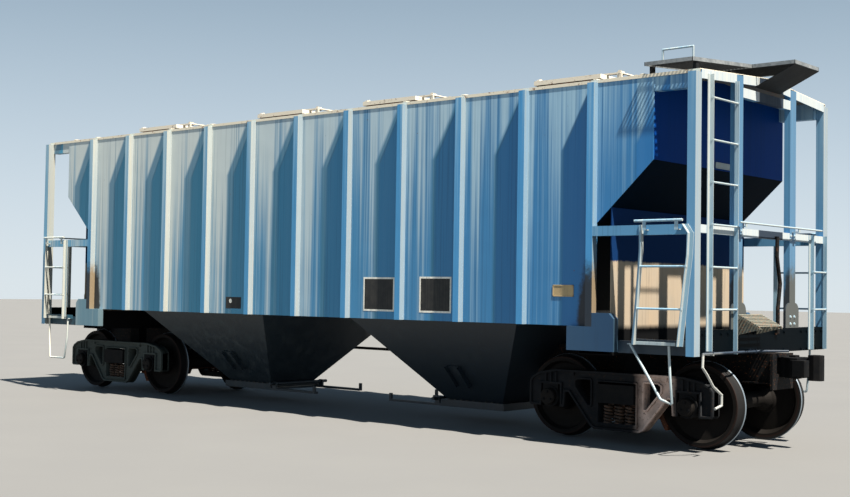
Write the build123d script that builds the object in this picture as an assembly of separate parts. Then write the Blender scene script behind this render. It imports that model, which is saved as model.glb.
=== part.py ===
"""Covered hopper car: two hopper bays, outside side posts, eight square roof hatches.

Millimetres. +X is the forward end, +Z is up, the right side is at -Y.
The origin lies midway between the trucks, on the floor that the wheel flanges stand on.
"""
from build123d import *
import math
import os

# Heights above the rail head are written as RAIL + height.
FLANGE_DEPTH = 25.4
RAIL = FLANGE_DEPTH

# Body: main places and sizes
POST_PITCH = 930
POST_COUNT = 11
POST_WIDTH = 86
POST_DEPTH = 88
SHEET_Y = 1537
SHEET = 6
SIDE_BOTTOM = RAIL + 1292
SIDE_HEIGHT = 2650
EAVE = SIDE_BOTTOM + SIDE_HEIGHT
ROOF_RISE = 110
ROOF_SHEET = 6
ROOF_EDGE_DROP = 30
SHEET_END_X = 5390
END_FACE_X = 5930
CHORD_DEPTH = 150
CHORD_WIDTH = 100

# Load space: end slope sheets, centre ridge and bays
SLOPE_TOP = EAVE - 872
BAY_TOP = RAIL + 1440
BAY_BOTTOM = RAIL + 250
SLOPE_FOOT_X = 3650
RIDGE_FOOT_X = 718
RIDGE_TOP = RAIL + 2305
OUTLET_X0 = 1700
OUTLET_X1 = 2600
OUTLET_HALF_Y = 430
PLATE = 8
OUTLET_FRAME_DEPTH = 90
OUTLET_FRAME_LIP = 60
GATE_THICK = 12
GATE_TRAVEL = 880
GATE_SEAT = 0.3
GATE_HEAD = 6

# Roof: hatches and walkways
HATCH_XS = (-3750, -960, 1130, 3930)
HATCH_Y = 730
HATCH_LENGTH = 930
HATCH_WIDTH = 620
COAMING_WALL = 8
COAMING_INSET = 40
COAMING_RISE = 85
LID_THICK = 6
LID_LIP = 46
LID_SEAT_GAP = 0.5
HINGE_REACH = 190
HINGE_PIN_R = 12
PIN_CLEARANCE = 0.1
WALK_WIDTH = 610
WALK_THICK = 40
WALK_TOP = EAVE + 258
WALK_END_X = END_FACE_X + 460
PLATFORM_X0 = END_FACE_X - 610
PLATFORM_X1 = END_FACE_X - 40
SADDLE_COUNT = 9
SADDLE_PITCH = 1400
PLATFORM_OUTER_TOP = WALK_TOP - 110

# Underframe
TRUCK_X = 4670
DECK_Z = RAIL + 1022
DECK_PLATE = 10
SIDE_SILL_WIDTH = 120
SILL_HALF = 165
SILL_BOTTOM = RAIL + 690
SILL_WALL = 14
SILL_FLANGE = 55
STRIKER_X = END_FACE_X + 200
END_SILL_TOP = RAIL + 1290
END_SILL_DEPTH_X = 90
BOLSTER_HALF = 210
BOLSTER_WEB = 12
BOLSTER_BOTTOM = RAIL + 985
PAD_HALF = 300
PAD_BOTTOM = RAIL + 1030
PAD_TOP = RAIL + 1265
PAD_GUSSET_TOP = RAIL + 1440
CENTRE_PLATE_R = 178
BOWL_FLOOR = RAIL + 654
SIDE_BEARING_Y = 635

# End structure
MID_BEAM_TOP = RAIL + 2375
MID_BEAM_DEPTH = 105
CORNER_POST_X = 95
CORNER_POST_Y = 120
END_POST_Y = 660
END_POST_WIDTH = 150
END_POST_DEPTH = 75
TIE_BEAM_TOP = EAVE - 42
TIE_BEAM_DEPTH = 105
FASCIA_DEPTH = 95

# Ladders and steps
LADDER_DEPTH = 50
STILE = 8
STILE_FLANGE = 50
END_STILE_DROP = 90
RUNG_SET = 15
STEP_FOOT_DEPTH = 60
RUNG_R = 11
RUNG_PITCH = 440
TOP_RUNG = EAVE - 242
LADDER_FOOT = RAIL + 1120
SIDE_LADDER_X0 = END_FACE_X - 645
SIDE_LADDER_X1 = END_FACE_X - 140
STEP_X0 = END_FACE_X - 740
END_LADDER_Y0 = 780
END_LADDER_Y1 = 1330
SHORT_LADDER_Y0 = 1140
SHORT_LADDER_Y1 = 1500
# The stiles of the knocked forward right side ladder: (lean from its place, height) up each one.
BENT_STILE_0 = ((-38, LADDER_FOOT), (8, RAIL + 1650), (43, RAIL + 2100), (43, MID_BEAM_TOP))
BENT_STILE_1 = (
    (-35, LADDER_FOOT), (35, RAIL + 1780), (70, RAIL + 2050), (80, RAIL + 2280), (13, MID_BEAM_TOP)
)

# Couplers
COUPLER_Z = RAIL + 876
COUPLER_PIN_X = END_FACE_X - 380
COUPLER_PIN_R = 40
COUPLER_FACE_X = END_FACE_X + 620
SHANK_HALF_Y = 65
SHANK_HALF_Z = 76

# Brake gear and small fittings on the body
STEP_TREAD = 545
STEP_REACH = 250
STEP_Y0 = -725
STEP_HEAD_Z = RAIL + 1455
STEP_FALL = 0.52
STEP_LEG_Z = RAIL + 1330
BRAKE_WHEEL_R = 280
BRAKE_WHEEL_Y = 500
BRAKE_WHEEL_Z = MID_BEAM_TOP - 375
BRAKE_WHEEL_X = END_FACE_X + 165
RESERVOIR_R = 205
RESERVOIR_LENGTH = 1150
RESERVOIR_X = END_FACE_X - 700
CYLINDER_R = 150
CYLINDER_LENGTH = 430
PIPE_R = 21
PIPE_Y = 1200
PIPE_LOW = RAIL + 745
PIPE_HIGH = RAIL + 900
PIPE_CROSS_X = 4350
PIPE_INNER_Y = 320
GRAB_R = 11
GRAB_STAND = 60

# Trucks
WHEELBASE = 1778
WHEEL_R = 457.2
AXLE_Z = RAIL + WHEEL_R
FLANGE_R = WHEEL_R + FLANGE_DEPTH
WHEEL_BACK_Y = 678
WHEEL_RIM_Y = 823
JOURNAL_Y = 1003
JOURNAL_R = 83
JOURNAL_GAP = 0.1
BEARING_R = 122
BEARING_HALF = 90
CAP_R = 96
CAP_END_Y = 1150
FRAME_HALF_Y = 78
FRAME_TOP = RAIL + 775
FRAME_BOTTOM = RAIL + 130
FRAME_HALF_X = 1185
WINDOW_HALF = 262
SEAT_Z = RAIL + 188
SPRING_TOP = RAIL + 430
SPRING_R = 62
SPRING_PITCH = 140
TRUCK_BOLSTER_TOP = RAIL + 668


def block(x0, x1, y0, y1, z0, z1):
    """Box between two corners."""
    middle = ((x0 + x1) / 2, (y0 + y1) / 2, (z0 + z1) / 2)
    return Pos(*middle) * Box(abs(x1 - x0), abs(y1 - y0), abs(z1 - z0))


def plate_xz(points, y0, y1):
    """Flat outline of (x, z) points, solid from y0 to y1."""
    plane = Plane(origin=(0, y1, 0), x_dir=(1, 0, 0), z_dir=(0, -1, 0))
    return extrude(plane * make_face(Polyline(*points, close=True)), amount=y1 - y0)


def plate_yz(points, x0, x1):
    """Flat outline of (y, z) points, solid from x0 to x1."""
    plane = Plane(origin=(x0, 0, 0), x_dir=(0, 1, 0), z_dir=(1, 0, 0))
    return extrude(plane * make_face(Polyline(*points, close=True)), amount=x1 - x0)


def rod(start, end, radius):
    """Round bar between two points."""
    run = Vector(*end) - Vector(*start)
    return Solid.make_cylinder(radius, run.length, Plane(origin=start, z_dir=run))


def bar_chain(points, radius):
    """Round bar that follows straight runs, with a ball at each bend."""
    shape = rod(points[0], points[1], radius)
    for start, end in zip(points[1:], points[2:]):
        shape = shape + rod(start, end, radius) + Pos(*start) * Sphere(radius)
    return shape


def at_end(shape, end):
    """The shape as built for the forward end, or turned half round for the rear end."""
    return shape if end > 0 else Rot(0, 0, 180) * shape


def mirror_y(shape):
    return mirror(shape, about=Plane.XZ)


def mirror_x(shape):
    return mirror(shape, about=Plane.YZ)


def save(name, shapes):
    """One file per node: each shape in the list is a solid of its own."""
    solids = []
    for shape in shapes:
        solids.extend(shape.solids())
    export_step(Compound(children=solids) if len(solids) > 1 else solids[0], f"parts/{name}.step")


def roof_height(y):
    """Top of the roof sheet at a distance y from the centre line: two straight falls."""
    return EAVE + ROOF_EDGE_DROP + ROOF_RISE * (1 - abs(y) / ROOF_HALF)


def roof_under(y):
    """Underside of the roof sheet at a distance y from the centre line."""
    fall = ROOF_RISE / (ROOF_HALF - ROOF_SHEET)
    return EAVE + ROOF_EDGE_DROP - ROOF_SHEET + ROOF_RISE - fall * abs(y)


def slope_x(z):
    """Outer face of the end slope sheet at height z."""
    if z >= BAY_TOP:
        return SLOPE_FOOT_X + (z - BAY_TOP) * (SHEET_END_X - SLOPE_FOOT_X) / (SLOPE_TOP - BAY_TOP)
    return OUTLET_X1 + (z - BAY_BOTTOM) * (SLOPE_FOOT_X - OUTLET_X1) / (BAY_TOP - BAY_BOTTOM)


def slope_z(x):
    """Height of the upper end slope sheet's outer face at a distance x."""
    return BAY_TOP + (x - SLOPE_FOOT_X) * (SLOPE_TOP - BAY_TOP) / (SHEET_END_X - SLOPE_FOOT_X)


INNER_Y = SHEET_Y - SHEET
POST_FACE_Y = SHEET_Y + POST_DEPTH
ROOF_HALF = POST_FACE_Y
EAVE_HALF = SHEET_Y + ROOF_SHEET
CORNER_INNER_Y = POST_FACE_Y - CORNER_POST_Y
POST_XS = [(i - (POST_COUNT - 1) / 2) * POST_PITCH for i in range(POST_COUNT)]
LAST_POST_X = POST_XS[-1] + POST_WIDTH / 2
SHEET_TOP = roof_under(SHEET_Y)
HATCH_HOLE_HALF_X = HATCH_LENGTH / 2 - COAMING_INSET - COAMING_WALL
HATCH_HOLE_HALF_Y = HATCH_WIDTH / 2 - COAMING_INSET - COAMING_WALL


# Side sheets: one flat sheet per side, cut back under the end slopes
def side_sheets():
    cut_z = slope_z(LAST_POST_X)
    outline = [
        (-SHEET_END_X, SHEET_TOP), (SHEET_END_X, SHEET_TOP), (SHEET_END_X, SLOPE_TOP),
        (LAST_POST_X, cut_z), (LAST_POST_X, SIDE_BOTTOM), (-LAST_POST_X, SIDE_BOTTOM),
        (-LAST_POST_X, cut_z), (-SHEET_END_X, SLOPE_TOP),
    ]
    right = plate_xz(outline, -SHEET_Y, -INNER_Y)
    return [right, mirror_y(right)]


# Side posts: pressed channels, open toward the sheet and capped under the roof's edge
def side_posts():
    posts = []
    wall = 8
    for x in POST_XS:
        half = POST_WIDTH / 2
        post = block(x - half, x + half, -POST_FACE_Y, -SHEET_Y, SIDE_BOTTOM, EAVE)
        inside = half - wall
        post = post - block(x - inside, x + inside, -POST_FACE_Y + wall, -SHEET_Y, SIDE_BOTTOM, EAVE - wall)
        posts += [post, mirror_y(post)]
    return posts


# Top chords: box along each eave, inside the sheet, out to the corner posts
def top_chords():
    inner = INNER_Y - CHORD_WIDTH
    section = [
        (-INNER_Y, EAVE - CHORD_DEPTH), (-inner, EAVE - CHORD_DEPTH), (-inner, roof_under(inner)),
        (-INNER_Y, roof_under(INNER_Y)),
    ]
    right = plate_yz(section, -END_FACE_X + CORNER_POST_X, END_FACE_X - CORNER_POST_X)
    return [right, mirror_y(right)]


# Roof: ridge sheet and two eave sheets, full length, and short sheets between the hatches
def roof():
    inner = HATCH_Y - HATCH_HOLE_HALF_Y
    outer = HATCH_Y + HATCH_HOLE_HALF_Y
    ridge = plate_yz(
        [(-inner, roof_height(inner)), (0, roof_height(0)), (inner, roof_height(inner)),
         (inner, roof_under(inner)), (0, roof_under(0)), (-inner, roof_under(inner))],
        -END_FACE_X, END_FACE_X,
    )
    eave = plate_yz(
        [(-EAVE_HALF, EAVE), (-EAVE_HALF, roof_height(EAVE_HALF)), (-outer, roof_height(outer)),
         (-outer, roof_under(outer)), (-SHEET_Y, roof_under(SHEET_Y)), (-SHEET_Y, EAVE)],
        -END_FACE_X, END_FACE_X,
    )
    return [ridge, eave, mirror_y(eave)]


def roof_panels():
    inner = HATCH_Y - HATCH_HOLE_HALF_Y
    outer = HATCH_Y + HATCH_HOLE_HALF_Y
    section = [
        (-outer, roof_height(outer)), (-inner, roof_height(inner)), (-inner, roof_under(inner)),
        (-outer, roof_under(outer)),
    ]
    edges = [-END_FACE_X]
    for x in HATCH_XS:
        edges += [x - HATCH_HOLE_HALF_X, x + HATCH_HOLE_HALF_X]
    edges.append(END_FACE_X)
    panels = []
    for x0, x1 in zip(edges[::2], edges[1::2]):
        panel = plate_yz(section, x0, x1)
        panels += [panel, mirror_y(panel)]
    return panels


def hatch_hole(x, side):
    y = side * HATCH_Y
    return block(
        x - HATCH_HOLE_HALF_X, x + HATCH_HOLE_HALF_X, y - HATCH_HOLE_HALF_Y, y + HATCH_HOLE_HALF_Y,
        EAVE, WALK_TOP,
    )


HATCH_TOP = roof_height(HATCH_Y - HATCH_WIDTH / 2) + COAMING_RISE


# Hatch coamings: upright rims round the roof holes, cut to the roof's fall at the foot
def hatch_coamings():
    coamings = []
    half_x = HATCH_LENGTH / 2 - COAMING_INSET
    half_y = HATCH_WIDTH / 2 - COAMING_INSET
    for x in HATCH_XS:
        inner = HATCH_Y - half_y
        outer = HATCH_Y + half_y
        section = [
            (-outer, roof_height(outer)), (-inner, roof_height(inner)), (-inner, HATCH_TOP),
            (-outer, HATCH_TOP),
        ]
        rim = plate_yz(section, x - half_x, x + half_x) - hatch_hole(x, -1)
        coamings += [rim, mirror_y(rim)]
    return coamings


def hinge_pin_z():
    return HATCH_TOP + 14


# Hatch lids: pressed covers with a turned-down lip, arms that reach the pin at the forward side
def hatch_lid(x, side):
    half_x = HATCH_LENGTH / 2
    y0 = side * HATCH_Y - HATCH_WIDTH / 2
    y1 = y0 + HATCH_WIDTH
    seat = HATCH_TOP + LID_SEAT_GAP
    cover = block(x - half_x, x + half_x, y0, y1, seat - LID_LIP, seat + LID_THICK)
    cover = cover - block(
        x - half_x + LID_THICK, x + half_x - LID_THICK, y0 + LID_THICK, y1 - LID_THICK,
        seat - LID_LIP, seat,
    )
    pin_x = x + half_x + HINGE_REACH
    for arm_y in (y0 + 150, y1 - 150):
        arm_z = seat + LID_THICK
        arm = block(x + half_x - 260, pin_x, arm_y - 22, arm_y + 22, arm_z, arm_z + 20)
        eye = rod((pin_x, arm_y - 22, hinge_pin_z()), (pin_x, arm_y + 22, hinge_pin_z()), 26)
        cover = cover + arm + eye
        bore_r = HINGE_PIN_R + PIN_CLEARANCE
        bore = rod((pin_x, arm_y - 30, hinge_pin_z()), (pin_x, arm_y + 30, hinge_pin_z()), bore_r)
        cover = cover - bore
    return cover


# Hinge brackets: two lugs and a pin per hatch, welded to the roof
def hatch_hinges():
    hinges = []
    for x in HATCH_XS:
        pin_x = x + HATCH_LENGTH / 2 + HINGE_REACH
        y0 = -HATCH_Y - HATCH_WIDTH / 2
        y1 = y0 + HATCH_WIDTH
        pin = rod((pin_x, y0 + 90, hinge_pin_z()), (pin_x, y1 - 90, hinge_pin_z()), HINGE_PIN_R)
        hinge = pin
        for lug_y in (y0 + 105, y1 - 105):
            foot_z = roof_height(lug_y) - 4
            lug = block(pin_x - 30, pin_x + 30, lug_y - 8, lug_y + 8, foot_z, hinge_pin_z())
            lug = lug - roof_under_cut(lug_y, pin_x)
            lug = lug + rod((pin_x, lug_y - 8, hinge_pin_z()), (pin_x, lug_y + 8, hinge_pin_z()), 30)
            hinge = hinge + lug
        hinges += [hinge, mirror_y(hinge)]
    return hinges


def roof_under_cut(y, x):
    """Wedge below the roof's top face, used to cut lug feet to the fall of the roof."""
    section = [
        (y - 60, roof_height(y - 60) - 60), (y + 60, roof_height(y + 60) - 60),
        (y + 60, roof_height(y + 60)), (y - 60, roof_height(y - 60)),
    ]
    return plate_yz(section, x - 60, x + 60)


# End walls: flat upright sheets over the slope sheets
def end_walls():
    half_section = [
        (-INNER_Y, SLOPE_TOP), (INNER_Y, SLOPE_TOP), (INNER_Y, EAVE - CHORD_DEPTH),
        (INNER_Y - CHORD_WIDTH, EAVE - CHORD_DEPTH),
        (INNER_Y - CHORD_WIDTH, roof_under(INNER_Y - CHORD_WIDTH)),
        (0, roof_under(0)),
        (-INNER_Y + CHORD_WIDTH, roof_under(INNER_Y - CHORD_WIDTH)),
        (-INNER_Y + CHORD_WIDTH, EAVE - CHORD_DEPTH), (-INNER_Y, EAVE - CHORD_DEPTH),
    ]
    wall = plate_yz(half_section, SHEET_END_X - PLATE, SHEET_END_X)
    return [wall, mirror_x(wall)]


# Slope sheets: full-width floors that fall from the end walls to the bays
def slope_sheets():
    run = SHEET_END_X - SLOPE_FOOT_X
    rise = SLOPE_TOP - BAY_TOP
    across = PLATE * math.hypot(run, rise) / rise
    outline = [
        (SLOPE_FOOT_X, BAY_TOP), (SHEET_END_X, SLOPE_TOP), (SHEET_END_X - across, SLOPE_TOP),
        (SLOPE_FOOT_X - across, BAY_TOP),
    ]
    sheet = plate_xz(outline, -INNER_Y, INNER_Y)
    return [sheet, mirror_x(sheet)]


# Centre ridge: two plates in an inverted V between the bays
def centre_ridge():
    across = PLATE * math.hypot(RIDGE_FOOT_X, RIDGE_TOP - BAY_TOP) / (RIDGE_TOP - BAY_TOP)
    drop = PLATE * math.hypot(RIDGE_FOOT_X, RIDGE_TOP - BAY_TOP) / RIDGE_FOOT_X
    outline = [
        (-RIDGE_FOOT_X - across, BAY_TOP), (0, RIDGE_TOP + drop), (RIDGE_FOOT_X + across, BAY_TOP),
        (RIDGE_FOOT_X, BAY_TOP), (0, RIDGE_TOP), (-RIDGE_FOOT_X, BAY_TOP),
    ]
    return [plate_xz(outline, -INNER_Y, INNER_Y)]


def bay_side_y(z):
    """Half width of a bay's outside at height z."""
    return OUTLET_HALF_Y + (z - BAY_BOTTOM) * (INNER_Y - OUTLET_HALF_Y) / (BAY_TOP - BAY_BOTTOM)


def funnel(inset):
    """Four-sided funnel between the bay's top and its outlet, drawn in by an inset."""
    top_width = SLOPE_FOOT_X - RIDGE_FOOT_X - 2 * inset
    foot_width = OUTLET_X1 - OUTLET_X0 - 2 * inset
    top = Pos((SLOPE_FOOT_X + RIDGE_FOOT_X) / 2, 0, BAY_TOP) * Rectangle(top_width, 2 * (INNER_Y - inset))
    foot = Pos((OUTLET_X0 + OUTLET_X1) / 2, 0, BAY_BOTTOM) * Rectangle(
        foot_width, 2 * (OUTLET_HALF_Y - inset)
    )
    return loft([top, foot], ruled=True)


# Hopper bays: the two funnels under the floor line, with a shaker pocket on each side slope
def hopper_bays():
    wall = PLATE * 1.4
    bay = funnel(0) - funnel(wall)
    for side in (-1, 1):
        bay = bay + shaker_pocket(side)
    return [bay, mirror_x(bay)]


def shaker_pocket(side):
    """Thick plate with two cheeks on the lower part of a bay's side slope."""
    x = (OUTLET_X0 + OUTLET_X1) / 2
    low = BAY_BOTTOM + 210
    high = low + 260
    section = [
        (side * bay_side_y(low), low), (side * bay_side_y(high), high),
        (side * (bay_side_y(high) + 70), high - 30), (side * (bay_side_y(low) + 70), low - 30),
    ]
    cheek_0 = plate_yz(section, x - 110, x - 90)
    cheek_1 = plate_yz(section, x + 90, x + 110)
    back = [
        (side * bay_side_y(low), low), (side * bay_side_y(high), high),
        (side * (bay_side_y(high) + 20), high - 9), (side * (bay_side_y(low) + 20), low - 9),
    ]
    return cheek_0 + cheek_1 + plate_yz(back, x - 110, x + 110)


# Outlet frames: flanged rims under the bays that carry the gates
def outlet_frames():
    lip = OUTLET_FRAME_LIP
    z1 = BAY_BOTTOM
    z0 = BAY_BOTTOM - OUTLET_FRAME_DEPTH
    rim = block(OUTLET_X0 - lip, OUTLET_X1 + lip, -OUTLET_HALF_Y - lip, OUTLET_HALF_Y + lip, z0, z1)
    rim = rim - block(OUTLET_X0 + 12, OUTLET_X1 - 12, -OUTLET_HALF_Y + 12, OUTLET_HALF_Y - 12, z0, z1)
    slot_z0 = z0 + 30
    slot_z1 = slot_z0 + GATE_SEAT + GATE_THICK + GATE_HEAD
    slot = block(
        OUTLET_X0 - lip, OUTLET_X1 + 30, -OUTLET_HALF_Y - 30, OUTLET_HALF_Y + 30, slot_z0, slot_z1
    )
    rim = rim - slot
    for side in (-1, 1):
        y = side * (OUTLET_HALF_Y + 15)
        rail_x0 = OUTLET_X0 - lip - GATE_TRAVEL - 40
        rail = block(rail_x0, OUTLET_X0 - lip, y - 25 * side, y + 45 * side, z0, slot_z0)
        rim = rim + rail
        hanger = block(rail_x0, rail_x0 + 40, y + 15 * side, y + 45 * side, z0, slot_z1 + 60)
        rim = rim + hanger
    shaft_x = OUTLET_X0 - lip - 70
    for side in (-1, 1):
        y = side * (OUTLET_HALF_Y + 45)
        ear = block(shaft_x - 40, shaft_x + 40, y - 15, y + 15, z0, z1 + 30)
        rim = rim + ear
    rim = rim + rod(
        (shaft_x, -OUTLET_HALF_Y - 150, z1 + 4), (shaft_x, OUTLET_HALF_Y + 150, z1 + 4), 22
    )
    return [rim, mirror_x(rim)]


# Outlet gates: flat plates with a rack, sliding toward the car's middle
def outlet_gate():
    z0 = BAY_BOTTOM - OUTLET_FRAME_DEPTH + 30 + GATE_SEAT
    lip = OUTLET_FRAME_LIP
    gate = block(
        OUTLET_X0 - lip - 30, OUTLET_X1 + 20, -OUTLET_HALF_Y - 20, OUTLET_HALF_Y + 20, z0, z0 + GATE_THICK
    )
    return gate


# Side sills: floor angle along each side between the pads, channel out to the corners with the steps' foot
def side_sills():
    inner = INNER_Y - SIDE_SILL_WIDTH
    reach = TRUCK_X - PAD_HALF
    floor = block(-reach, reach, -INNER_Y, -inner, SIDE_BOTTOM, SIDE_BOTTOM + 10)
    sill = block(TRUCK_X + PAD_HALF, END_FACE_X - CORNER_POST_X, -INNER_Y, -inner, DECK_Z, DECK_Z + 130)
    foot = block(
        STEP_X0, END_FACE_X - CORNER_POST_X, -POST_FACE_Y, -INNER_Y, LADDER_FOOT,
        LADDER_FOOT + STEP_FOOT_DEPTH,
    )
    sill = sill + foot
    shapes = [floor, mirror_y(floor)]
    for shape in (sill, mirror_x(sill)):
        shapes += [shape, mirror_y(shape)]
    return shapes


# Body bolsters: box across the car over each truck, with one web up to the slope sheet
def body_bolsters():
    x0 = TRUCK_X - BOLSTER_HALF
    x1 = TRUCK_X + BOLSTER_HALF
    top = SIDE_BOTTOM
    hollow = block(
        x0 + BOLSTER_WEB, x1 - BOLSTER_WEB, -INNER_Y, INNER_Y, BOLSTER_BOTTOM + BOLSTER_WEB, top - BOLSTER_WEB
    )
    box = block(x0, x1, -INNER_Y, INNER_Y, BOLSTER_BOTTOM, top) - hollow
    web_outline = [
        (-INNER_Y, top), (INNER_Y, top), (INNER_Y, slope_z(x1 - BOLSTER_WEB) - 1),
        (-INNER_Y, slope_z(x1 - BOLSTER_WEB) - 1),
    ]
    box = box + plate_yz(web_outline, x1 - BOLSTER_WEB, x1)
    sill_way = block(
        x0, x1, -SILL_HALF - SILL_FLANGE, SILL_HALF + SILL_FLANGE, BOLSTER_BOTTOM - 1, DECK_Z
    )
    box = box - sill_way
    for side in (-1, 1):
        y = side * SIDE_BEARING_Y
        wear_z = TRUCK_BOLSTER_TOP + 86
        box = box + block(TRUCK_X - 110, TRUCK_X + 110, y - 75, y + 75, wear_z, BOLSTER_BOTTOM)
    return [box, mirror_x(box)]


# Jacking pads: cast blocks at the bolster ends, with a rounded gusset beside the last post
def jacking_pads():
    pads = []
    x0 = TRUCK_X - PAD_HALF
    x1 = TRUCK_X + PAD_HALF
    block_part = block(x0, x1, -POST_FACE_Y, -INNER_Y, PAD_BOTTOM, SIDE_BOTTOM)
    gusset = plate_xz(
        [(LAST_POST_X, SIDE_BOTTOM), (x1, SIDE_BOTTOM), (x1, PAD_GUSSET_TOP - 60), (x1 - 60, PAD_GUSSET_TOP),
         (LAST_POST_X, PAD_GUSSET_TOP)],
        -POST_FACE_Y, -INNER_Y,
    )
    pad = block_part + gusset
    for base in (pad, mirror_x(pad)):
        pads += [base, mirror_y(base)]
    return pads


# Draft sills: inverted channels from the end slopes to the strikers, with the centre plates and pins
def draft_sills():
    inner = SILL_HALF - SILL_WALL
    start_low = slope_x(SILL_BOTTOM)
    start_high = slope_x(DECK_Z)
    web = [(start_low, SILL_BOTTOM), (STRIKER_X, SILL_BOTTOM), (STRIKER_X, DECK_Z), (start_high, DECK_Z)]
    sill = plate_xz(web, -SILL_HALF, SILL_HALF)
    cut = [
        (start_low - 500, SILL_BOTTOM), (STRIKER_X, SILL_BOTTOM), (STRIKER_X, DECK_Z - SILL_WALL),
        (start_high - 500, DECK_Z - SILL_WALL),
    ]
    sill = sill - plate_xz(cut, -inner, inner)
    for side in (-1, 1):
        y0 = side * SILL_HALF
        y1 = side * (SILL_HALF + SILL_FLANGE)
        foot = slope_x(SILL_BOTTOM + 16)
        sill = sill + block(foot, STRIKER_X, min(y0, y1), max(y0, y1), SILL_BOTTOM, SILL_BOTTOM + 16)
    striker = block(STRIKER_X - 30, STRIKER_X, -SILL_HALF - 90, SILL_HALF + 90, SILL_BOTTOM - 60, DECK_Z)
    striker = striker - block(
        STRIKER_X - 30, STRIKER_X, -inner, inner,
        COUPLER_Z - SHANK_HALF_Z - 0.5, COUPLER_Z + SHANK_HALF_Z + 30,
    )
    sill = sill + striker
    filler = block(TRUCK_X - 200, TRUCK_X + 200, -inner, inner, SILL_BOTTOM, DECK_Z - SILL_WALL)
    plate = Pos(TRUCK_X, 0, (SILL_BOTTOM + BOWL_FLOOR + 0.3) / 2) * Cylinder(
        CENTRE_PLATE_R, SILL_BOTTOM - BOWL_FLOOR - 0.3
    )
    pin_z0 = SILL_BOTTOM
    pin_z1 = DECK_Z - SILL_WALL
    pin = Pos(COUPLER_PIN_X, 0, (pin_z0 + pin_z1) / 2) * Cylinder(COUPLER_PIN_R, pin_z1 - pin_z0)
    strap = block(
        COUPLER_PIN_X - COUPLER_PIN_R, COUPLER_PIN_X + COUPLER_PIN_R, -SILL_HALF, SILL_HALF,
        SILL_BOTTOM, SILL_BOTTOM + SILL_WALL,
    )
    sill = sill + filler + plate + pin + strap
    return [sill, mirror_x(sill)]


# Decks: flat plates over the draft sills between the bolsters and the end sills
def end_decks():
    half = INNER_Y - SIDE_SILL_WIDTH
    deck = block(
        TRUCK_X + BOLSTER_HALF, END_FACE_X - END_SILL_DEPTH_X, -half, half, DECK_Z, DECK_Z + DECK_PLATE
    )
    return [deck, mirror_x(deck)]


# End sills: deep channels across the ends
def end_sills():
    inner = CORNER_INNER_Y
    sill = block(END_FACE_X - END_SILL_DEPTH_X, END_FACE_X, -inner, inner, DECK_Z, END_SILL_TOP)
    sill = sill - block(
        END_FACE_X - END_SILL_DEPTH_X, END_FACE_X - 12, -inner, inner, DECK_Z + 12, END_SILL_TOP - 12
    )
    return [sill, mirror_x(sill)]


# Corner posts: square tubes at the four corners
def corner_posts():
    posts = []
    for sx in (-1, 1):
        for sy in (-1, 1):
            x0 = sx * (END_FACE_X - CORNER_POST_X)
            x1 = sx * END_FACE_X
            y0 = sy * POST_FACE_Y
            y1 = sy * (POST_FACE_Y - CORNER_POST_Y)
            posts.append(block(min(x0, x1), max(x0, x1), min(y0, y1), max(y0, y1), DECK_Z, EAVE))
    return posts


# End posts: two uprights per end between the end sill and the roof
def end_posts():
    posts = []
    for sx in (-1, 1):
        for sy in (-1, 1):
            x0 = sx * (END_FACE_X - END_POST_DEPTH)
            x1 = sx * END_FACE_X
            y0 = sy * (END_POST_Y - END_POST_WIDTH / 2)
            y1 = sy * (END_POST_Y + END_POST_WIDTH / 2)
            top = roof_under(END_POST_Y + END_POST_WIDTH / 2)
            post = block(min(x0, x1), max(x0, x1), min(y0, y1), max(y0, y1), END_SILL_TOP, top)
            for edge, out in ((min(y0, y1), -1), (max(y0, y1), 1)):
                gusset = foot_gusset(edge, out)
                post = post + (gusset if sx > 0 else mirror_x(gusset))
            posts.append(post)
    return posts


def foot_gusset(edge, out):
    """Plate with a rounded top beside an end post's foot; out is the way it spreads."""
    reach = 95
    straight = 190
    foot = [(edge, END_SILL_TOP), (edge + out * reach, END_SILL_TOP),
            (edge + out * reach, END_SILL_TOP + straight), (edge, END_SILL_TOP + straight)]
    plate = plate_yz(foot, END_FACE_X - 14, END_FACE_X)
    spring = END_SILL_TOP + straight
    crown = rod((END_FACE_X - 14, edge, spring), (END_FACE_X, edge, spring), reach)
    ys = sorted((edge, edge + out * reach))
    crown = crown & block(END_FACE_X - 14, END_FACE_X, ys[0], ys[1], spring, spring + reach)
    return plate + crown


def end_fascia(y0, y1):
    """Upright strip under the roof's end edge, from y0 to y1."""
    inside = [0] if y0 < 0 < y1 else []
    ys = [y0] + inside + [y1]
    top = [(y, roof_under(y)) for y in ys]
    foot = [(y, roof_under(y) - FASCIA_DEPTH) for y in reversed(ys)]
    return plate_yz(top + foot, END_FACE_X - 12, END_FACE_X)


# End beams: cross ties at mid height and under the roof, and the side ties back to the last posts
def end_beams():
    beams = []
    low = MID_BEAM_TOP - MID_BEAM_DEPTH
    inner = CORNER_INNER_Y
    near = END_POST_Y - END_POST_WIDTH / 2
    far = END_POST_Y + END_POST_WIDTH / 2
    between = [(-inner, -far), (-near, near), (far, inner)]
    for y0, y1 in between:
        beams.append(block(END_FACE_X - 70, END_FACE_X, y0, y1, low + 20, MID_BEAM_TOP))
    for y0, y1 in between:
        beams.append(end_fascia(y0, y1))
    y0, y1 = between[1]
    beams.append(block(END_FACE_X - 70, END_FACE_X, y0, y1, TIE_BEAM_TOP - TIE_BEAM_DEPTH, TIE_BEAM_TOP))
    for side in (-1, 1):
        ya = side * POST_FACE_Y
        yb = side * (POST_FACE_Y - 70)
        corner = END_FACE_X - CORNER_POST_X
        beams.append(block(LAST_POST_X, corner, min(ya, yb), max(ya, yb), low, MID_BEAM_TOP))
    beams += [mirror_x(beam) for beam in beams]
    return beams


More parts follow.
